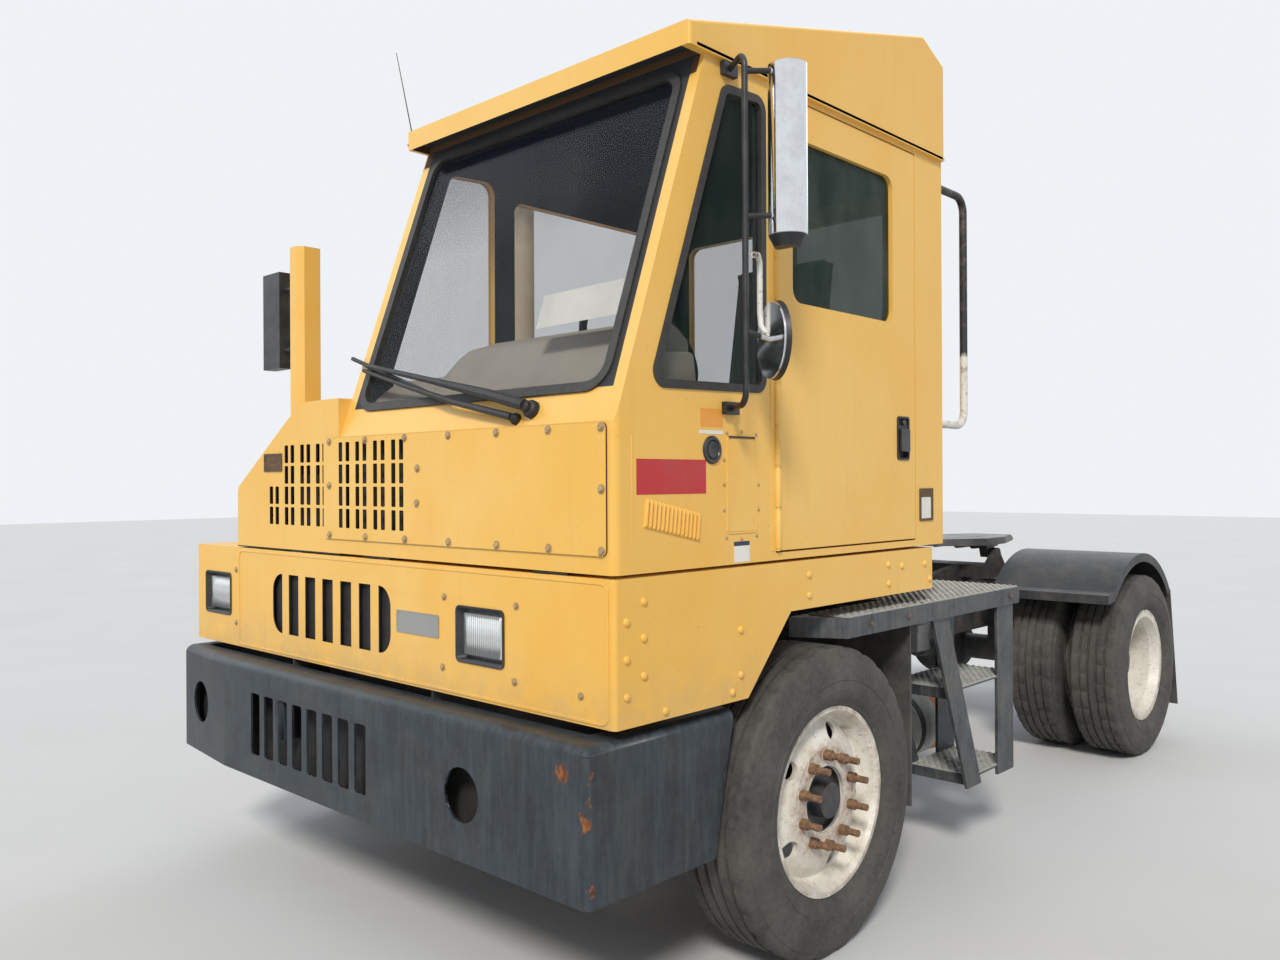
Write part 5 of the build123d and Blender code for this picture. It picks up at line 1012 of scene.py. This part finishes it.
p.tube([blade(t / 12, 0.016) for t in range(13)], 0.0075, 8)
p.tube([blade(t / 12, 0.0065) for t in range(13)], 0.0045, 6)
for t0, t1, height in ((0.02, 0.30, 0.022), (0.36, 0.64, 0.022), (0.70, 0.98, 0.022), (0.16, 0.50, 0.030),
                       (0.50, 0.84, 0.030)):
    p.tube([blade(t0, 0.014), blade(t0 + (t1 - t0) * 0.25, height), blade((t0 + t1) / 2, height + 0.003),
            blade(t1 - (t1 - t0) * 0.25, height), blade(t1, 0.014)], 0.0062, 6)
p.finish("wiper_blade", wiper_black, "cab", "black_paint")

# Hinge of the driver's door: knuckles in short lengths
p = Piece()
door_lo, door_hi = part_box("driver_door")
for k in range(11):
    z0 = door_lo.z + 0.004 + k * (door_hi.z - door_lo.z - 0.008) / 11
    p.lathe((SIDE_X + 0.006, FRONT_AXLE_Y - 0.2475, z0), UP, [(0.0085, 0.003), (0.0100, 0.006), (0.0100, 0.117),
                                                               (0.0085, 0.120)], 14)
p.finish("door_hinge", hinge_paint, "cab", "yellow_paint")

# Dark screen behind the lower grille, put there as painted shade
p = Piece()
p.box((-0.610, FACE_Y + 0.020, 0.925), (0.250, FACE_Y + 0.026, 1.205))
for x in (-0.610, 0.244):
    p.box((x, FACE_Y + 0.004, 0.925), (x + 0.006, FACE_Y + 0.026, 1.205))
p.finish("grille_shade_screen", dark_iron, "chassis", "black_paint", bevel=0.0008)

# Bumper: dark plates behind its slots and under them, put there as painted shade; bolts
p = Piece()
p.box((-1.190, FACE_Y - 0.004, 0.445), (1.190, FACE_Y + 0.004, 0.815))
p.box((-1.190, -2.440, 0.445), (1.190, FACE_Y, 0.453))
p.finish("bumper_shade_backing", dark_iron, "chassis", "black_paint", bevel=0.001)
p = Piece()
for x in (0.735, -1.000):
    p.tube([(x, -2.432, 0.500), (x, -2.432, 0.790)], 0.022, 16)
p.finish("tow_pins", rusty, "chassis", "plate_steel", bevel=0.002)

p = Piece()
for x, z in ((-0.695, 0.639), (-0.696, 0.531), (0.328, 0.628), (0.328, 0.531)):
    p.bolt((x, -2.4845, z), FRONT_OUT, 0.011)
p.finish("bumper_bolts", dark_bolt, "chassis", "plate_steel")


# Walkway and treads: serrated bars over the plates
def grate(p, x0, x1, y0, y1, z, pitch=0.021, tooth=0.014, high=0.0075):
    """Toothed bars across, pitch apart, and plain bars along."""
    rows = max(2, round((y1 - y0) / pitch))
    for i in range(rows + 1):
        y = y0 + (y1 - y0) * i / rows
        steps = max(2, round((x1 - x0) / tooth))
        line = [(x0 + (x1 - x0) * k / steps, z + high * (1.0 if (k + i) % 2 else 0.45)) for k in range(steps + 1)]
        for (xa, za), (xb, zb) in zip(line, line[1:]):
            p.bridge([p.ring(((xa, side, z - 0.001), (xb, side, z - 0.001), (xb, side, zb), (xa, side, za)))
                      for side in (y - 0.0022, y + 0.0022)])
    columns = max(1, round((x1 - x0) / 0.09))
    for i in range(columns + 1):
        x = x0 + (x1 - x0) * i / columns
        p.box((x - 0.003, y0, z - 0.001), (x + 0.003, y1, z + high * 0.5))


p = Piece()
grate(p, 0.440, 1.237, -0.829, -0.025, 1.056)
grate(p, 1.085, 1.237, -1.335, -0.829, 1.056)
p.finish("walkway_grating", grating, "chassis", "deck_steel")
p = Piece()
grate(p, 0.966, 1.229, -0.427, -0.063, 0.345)
grate(p, 0.966, 1.229, -0.571, -0.063, 0.705)
p.finish("step_grating", grating, "chassis", "deck_steel")

p = Piece()
for x, y, z in ((1.245, -1.20, 1.023), (1.245, -0.95, 1.023), (1.245, -0.10, 1.023)):
    p.bolt((x, y, z), SIDE_OUT, 0.009)
p.finish("walkway_bolts", dark_bolt, "chassis", "plate_steel")

# Air tank and a valve box beside the ladder
TANK_X = 0.745
TANK_Z = 0.425
TANK_R = 0.148
p = Piece()
end = [(TANK_R, 0.165), (0.138, 0.195), (0.110, 0.218), (0.060, 0.232), (0.0, 0.235)]
p.lathe((TANK_X, -0.045, TANK_Z), REAR_OUT, [(r, -h) for r, h in reversed(end)] + end, 40)
p.finish("air_tank", tank_paint, "chassis", "grey_plastic")
p = Piece()
for y in (-0.18, 0.09):
    p.lathe((TANK_X, y - 0.018, TANK_Z), REAR_OUT, [(TANK_R, 0), (0.151, 0), (0.151, 0.036), (TANK_R, 0.036)], 40)
    p.box((0.425, y - 0.02, 0.40), (0.60, y + 0.02, 0.46))
    p.box((0.425, y - 0.02, 0.40), (0.435, y + 0.02, 0.60))
p.finish("tank_hangers", dark_iron, "chassis", "black_paint", bevel=0.001)
p = Piece()
p.box((0.800, -0.290, 0.778), (0.925, -0.178, 0.885))
p.box((0.794, -0.296, 0.860), (0.931, -0.172, 0.893))
p.box((0.840, -0.250, 0.885), (0.885, -0.215, 0.992))
p.finish("valve_box", pale_box, "chassis", "grey_plastic", bevel=0.004)

# Battery box: lid and latches
p = Piece()
lo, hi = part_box("battery_box")
p.box((lo.x - 0.004, lo.y - 0.004, hi.z - 0.045), (hi.x + 0.004, hi.y + 0.004, hi.z - 0.001))
for y in (lo.y + 0.12, hi.y - 0.12):
    p.box((hi.x, y - 0.018, hi.z - 0.11), (hi.x + 0.014, y + 0.018, hi.z - 0.02))
    p.tube([(hi.x + 0.012, y - 0.016, hi.z - 0.10), (hi.x + 0.026, y - 0.016, hi.z - 0.12),
            (hi.x + 0.026, y + 0.016, hi.z - 0.12), (hi.x + 0.012, y + 0.016, hi.z - 0.10)], 0.003, 8)
p.finish("battery_lid", black_metal, "chassis", "black_paint", bevel=0.002)

# Fuel tank: straps and filler cap
p = Piece()
lo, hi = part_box("fuel_tank")
for y in (lo.y + 0.14, hi.y - 0.14):
    p.frame(rounded((lo.x - 0.003, lo.z - 0.003), (hi.x + 0.003, hi.z + 0.003), 0.093),
            rounded((lo.x, lo.z), (hi.x, hi.z), 0.090), "y", y - 0.025, y + 0.025)
    p.bolt((lo.x - 0.003, y, 0.72), RIGHT_OUT, 0.010)
p.finish("fuel_straps", zinc, "chassis", "plate_steel")
p = Piece()
p.lathe((lo.x + 0.17, lo.y + 0.10, hi.z - 0.002), UP, [(0.045, 0), (0.045, 0.030), (0.056, 0.030), (0.056, 0.052),
                                                       (0.050, 0.058), (0.0, 0.060)], 32)
p.finish("fuel_cap", black_metal, "chassis", "black_paint")

# Exhaust clamps
STACK_X = -0.740
STACK_Y = -1.049
p = Piece()
for z in (1.800, 1.850):
    p.lathe((STACK_X, STACK_Y, z), UP, [(0.0625, 0), (0.068, 0), (0.068, 0.022), (0.0625, 0.022)], 32)
    p.bolt((STACK_X + 0.068, STACK_Y, z + 0.011), SIDE_OUT, 0.007)
p.finish("stack_clamps", rusty, "chassis", "exhaust_steel")

# Antenna, shorter than the real one so that it ends at the roof's height
p = Piece()
foot = Vector((-0.128, -2.077, 2.760))
tip = foot + Vector((-0.133, 0.0, 0.437)) * 0.80
p.box((-0.142, -2.092, 2.735), (-0.098, -2.062, 2.745))
p.lathe(foot - Vector((0, 0, 0.016)), UP, [(0.014, 0), (0.014, 0.008), (0.009, 0.014), (0.007, 0.030), (0, 0.031)], 14)
p.tube([foot, foot + (tip - foot) * 0.12, foot + (tip - foot) * 0.5, tip], [0.0040, 0.0022, 0.0018, 0.0013], 8)
p.finish("antenna", wiper_black, "cab", "black_paint")

# White bent tube that carries the round mirror
p = Piece()
p.tube([(1.331, -1.960, 2.135), (1.322, -1.930, 2.140), (1.312, -1.908, 2.125), (1.310, -1.905, 2.085),
        (1.310, -1.905, 1.985), (1.314, -1.906, 1.945), (1.332, -1.909, 1.922), (1.352, -1.911, 1.905)], 0.0085, 12)
p.finish("mirror_bracket", white_tube, "cab", "white_paint")

# Wheels: valve stems
for side, tail in ((1, "left"), (-1, "right")):
    p = Piece()
    p.tube([(side * (FRONT_WHEEL_X + 0.035), FRONT_AXLE_Y + 0.16, HUB_Z + 0.19),
            (side * (FRONT_WHEEL_X + 0.075), FRONT_AXLE_Y + 0.165, HUB_Z + 0.197)], [0.0055, 0.004], 10)
    p.finish(f"valve_front_{tail}", zinc, f"front_wheel_{tail[0]}", "plate_steel")

# Door handle: paddle and lock
p = Piece()
lo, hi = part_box("door_handle")
p.box((hi.x, lo.y + 0.012, lo.z + 0.030), (hi.x + 0.010, hi.y - 0.012, hi.z - 0.045))
p.lathe((hi.x, (lo.y + hi.y) / 2, hi.z - 0.022), SIDE_OUT, [(0.011, 0), (0.011, 0.004), (0.008, 0.005),
                                                            (0.0, 0.005)], 20)
p.finish("handle_paddle", port_plastic, "door", "black_plastic", bevel=0.003)

# Padded dash cover and the instrument cowl, higher than the dashboard's solid
p = Piece()
p.prism(folded([(-2.345, 1.690), (-2.300, 1.790), (-2.190, 1.862), (-2.035, 1.872), (-2.010, 1.690)],
               {1: 0.03, 2: 0.05, 3: 0.02}), "x", -0.055, 1.175)
p.finish("dash_cover", dash_trim, "cab", "grey_plastic", bevel=0.004)
p = Piece()
low = folded([(-2.300, 1.780), (-2.185, 1.935), (-2.050, 1.978), (-1.985, 1.930), (-1.975, 1.700), (-2.200, 1.700)],
             {1: 0.05, 2: 0.03, 3: 0.03})
rings = []
for x, inset in ((0.215, 0.10), (0.290, 0.02), (0.330, 0.0), (1.080, 0.0), (1.110, 0.02)):
    rings.append(p.ring((x, y, z - inset * (z - 1.700) / 0.28) for y, z in low))
p.bridge(rings)
p.finish("instrument_cowl", dash_trim, "cab", "grey_plastic", smooth=50.0)

# Plates that hold the grab handle
p = Piece()
for z in (1.720, 2.620):
    p.box((1.168, -0.642, z - 0.055), (1.212, -0.633, z + 0.055))
    for off in (-0.040, 0.040):
        p.bolt((1.190, -0.633, z + off), REAR_OUT, 0.006)
p.finish("handle_plates", black_metal, "cab", "black_paint", bevel=0.0015)

# Driver's seat: two padded pieces on a bellows base
def skin(p, size):
    """A piece's form as an even mesh of small faces."""
    form = linked("form", p.mesh())
    cells = form.modifiers.new("cells", "REMESH")
    cells.mode = "VOXEL"
    cells.voxel_size = size
    even = evaluated(form)
    bpy.data.objects.remove(form)
    return even


def inflate(mesh, cap, base_cap, under):
    """Blows a mesh up as cloth; a point moves by cap at most, or base_cap where under says so."""
    form = linked("form", mesh)
    cloth = form.modifiers.new("cloth", "CLOTH")
    cloth.settings.quality = 5
    cloth.settings.use_pressure = True
    cloth.settings.uniform_pressure_force = 4.0
    cloth.settings.effector_weights.gravity = 0.0
    cloth.point_cache.frame_start = 1
    cloth.point_cache.frame_end = 20
    for step in range(1, 21):
        scene.frame_set(step)
    for v, w in zip(mesh.vertices, evaluated(form).vertices):
        move = w.co - v.co
        limit = base_cap if under(v.co) else cap
        if move.length > limit:
            move *= limit / move.length
        v.co += move
    form.modifiers.clear()
    bpy.data.objects.remove(form)
    scene.frame_set(1)
    return mesh


def pad(name, p, cap, under, shape):
    """A stuffed piece: even skin, blown up, then shaped with its sewn channels."""
    mesh = skin(p, 0.006)
    inflate(mesh, cap, 0.002, under)
    for v in mesh.vertices:
        shape(v.co)
    mesh.materials.clear()
    mesh.materials.append(seat_cloth)
    for face in mesh.polygons:
        face.use_smooth = True
    piece = linked(name, mesh)
    fine = piece.modifiers.new("fine", "SUBSURF")
    fine.levels = fine.render_levels = 1
    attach(piece, "cab")
    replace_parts(piece, "driver_seat")
    return piece


def groove(distance, depth, width=0.009):
    return depth * math.exp(-(distance / width) ** 2)


def hold(co, low, high):
    """Keeps a point inside a box."""
    for k in range(3):
        co[k] = min(max(co[k], low[k]), high[k])


def shape_cushion(co):
    if co.z > 1.72:
        co.z += 0.004 * math.cos(min(abs(co.x - SEAT_X) / 0.24, 1.0) * math.pi / 2)
        for x in (-0.125, 0.0, 0.125):
            if -1.47 < co.y < -1.05:
                co.z -= groove(co.x - SEAT_X - x, 0.007)
        co.z -= groove(co.y + 1.40, 0.006)
    hold(co, (0.480, -1.507, 1.652), (0.960, -1.017, 1.765))


def lean_front(z):
    return -1.097 + (z - 1.705) * (0.110 / 0.655)


# The backrest's round top corners: the middle, from the seat's own in x, and the radius
CORNER_X = 0.155
CORNER_Z = 2.292
CORNER_R = 0.060


def shape_back(co):
    side = co.x - SEAT_X
    if abs(side) > CORNER_X and co.z > CORNER_Z:
        offset_x, offset_z = abs(side) - CORNER_X, co.z - CORNER_Z
        reach = math.hypot(offset_x, offset_z)
        if reach > CORNER_R:
            co.x = SEAT_X + math.copysign(CORNER_X + offset_x * CORNER_R / reach, side)
            co.z = CORNER_Z + offset_z * CORNER_R / reach
    front = lean_front(co.z)
    if co.y < front + 0.04 and 1.80 < co.z < 2.33:
        for x in (-0.115, 0.0, 0.115):
            co.y += groove(co.x - SEAT_X - x, 0.007)
        co.y += groove(co.z - 2.17, 0.006)
    hold(co, (0.500, front, 1.668), (0.940, -0.8885, 2.360))


p = Piece()
p.prism(rounded((0.494, -1.493), (0.946, -1.031), 0.060, 8), "z", 1.656, 1.744)
cushion = pad("seat_cushion", p, 0.016, lambda co: co.z < 1.662, shape_cushion)
p = Piece()
p.prism([(-1.078, 1.760), (-0.990, 2.335), (-0.905, 2.335), (-0.965, 1.720)], "x", 0.514, 0.926)
backrest = pad("seat_back", p, 0.014, lambda co: False, shape_back)


def piping(name, host, line):
    """A sewn cord along a pad's edge."""
    p = Piece()
    points = []
    for point in line:
        place, normal = host.closest_point_on_mesh(Vector(point))[1:3]
        points.append(place + normal * 0.0012)
    p.tube(points, 0.0036, 8)
    return p.finish(name, seal_rubber, "cab", "seat_fabric")


edge = rounded((0.484, -1.503), (0.956, -1.021), 0.060, 8)
piping("cushion_piping", cushion, [(x, y, 1.735) for x, y in edge + edge[:1]])
edge = rounded((0.505, 1.74), (0.935, 2.352), 0.060, 8)
piping("back_piping", backrest, [(x, lean_front(z) + 0.022, z) for x, z in edge + edge[:1]])

p = Piece()
p.prism(rounded((0.582, -1.415), (0.858, -1.089), 0.02), "z", 1.3075, 1.326)
p.prism(rounded((0.575, -1.422), (0.865, -1.082), 0.02), "z", 1.628, 1.654)
rings = []
for k in range(13):
    inset = 0.014 if k % 2 else 0.030
    z = 1.326 + (1.628 - 1.326) * k / 12
    rings.append(p.ring((x, y, z) for x, y in rounded((0.575 + inset, -1.422 + inset),
                                                      (0.865 - inset, -1.082 - inset), 0.03)))
p.bridge(rings)
p.box((0.66, -1.010, 1.640), (0.78, -0.965, 1.800))
p.box((0.60, -1.090, 1.632), (0.84, -0.990, 1.650))
p.finish("seat_base", black_plastic, "cab", "black_plastic", bevel=0.002)

# Floor, world, light and camera
floor_bm = Piece()
floor_bm.box((-40, -40, -0.06), (40, 40, -0.0005))
floor_shader = Shader("floor_tone")
floor_shader.set(Base_Color=floor_shader.mix(floor_shader.ramp(floor_shader.noise(0.8, 5, 0.6), 0.3, 0.7),
                                             (0.60, 0.60, 0.595), (0.63, 0.63, 0.625)), Roughness=0.85)
floor_mesh = bpy.data.meshes.new("studio_floor")
floor_bm.bm.to_mesh(floor_mesh)
floor_mesh.materials.append(floor_shader.mat)
linked("studio_floor", floor_mesh)

scene.view_settings.view_transform = "Standard"
world = bpy.data.worlds.new("studio")
scene.world = world
world.use_nodes = True
wt = world.node_tree
background = wt.nodes["Background"]
background.inputs["Color"].default_value = (0.84, 0.90, 1.0, 1.0)
background.inputs["Strength"].default_value = 0.50
backdrop = wt.nodes.new("ShaderNodeBackground")
backdrop.inputs["Color"].default_value = (0.86, 0.89, 0.92, 1.0)
backdrop.inputs["Strength"].default_value = 1.0
rays = wt.nodes.new("ShaderNodeLightPath")
chosen = rays.outputs["Is Camera Ray"]
for kind in ("Is Glossy Ray", "Is Transmission Ray"):
    either = wt.nodes.new("ShaderNodeMath")
    either.operation = "MAXIMUM"
    wt.links.new(chosen, either.inputs[0])
    wt.links.new(rays.outputs[kind], either.inputs[1])
    chosen = either.outputs[0]
blend = wt.nodes.new("ShaderNodeMixShader")
wt.links.new(chosen, blend.inputs[0])
wt.links.new(background.outputs[0], blend.inputs[1])
wt.links.new(backdrop.outputs[0], blend.inputs[2])
wt.links.new(blend.outputs[0], wt.nodes["World Output"].inputs["Surface"])


def sun(name, direction, strength, angle, colour):
    data = bpy.data.lights.new(name, "SUN")
    data.energy = strength
    data.angle = math.radians(angle)
    data.color = colour
    linked(name, data).rotation_euler = Vector(direction).to_track_quat("-Z", "Y").to_euler()


sun("key", (-0.50, 0.72, -0.72), 2.5, 12, (1.0, 0.965, 0.90))
sun("fill", (0.8, 0.35, -0.55), 0.45, 40, (0.92, 0.95, 1.0))
sun("back", (0.2, -0.9, -0.6), 0.45, 40, (0.95, 0.97, 1.0))

# Solved from the photo: the lens in its pixels, the place and the turn
FOCAL_PX = 1034.6
PHOTO_WIDTH_PX = 1280
CAMERA_AT = (3.067, -4.268, 1.511)
YAW = math.radians(43.29)
PITCH = math.radians(0.01)
ROLL = math.radians(-0.29)
forward = Vector((-math.sin(YAW) * math.cos(PITCH), math.cos(YAW) * math.cos(PITCH), math.sin(PITCH)))
right = Vector((math.cos(YAW), math.sin(YAW), 0.0))
up = right.cross(forward)
level_right = right * math.cos(ROLL) + up * math.sin(ROLL)
level_up = up * math.cos(ROLL) - right * math.sin(ROLL)
camera_data = bpy.data.cameras.new("camera")
camera_data.sensor_width = 36.0
camera_data.lens = camera_data.sensor_width * FOCAL_PX / PHOTO_WIDTH_PX
camera_data.clip_end = 200.0
camera = linked("camera", camera_data)
turn = Matrix((level_right, level_up, -forward)).transposed().to_4x4()
camera.matrix_world = Matrix.Translation(CAMERA_AT) @ turn
scene.camera = camera
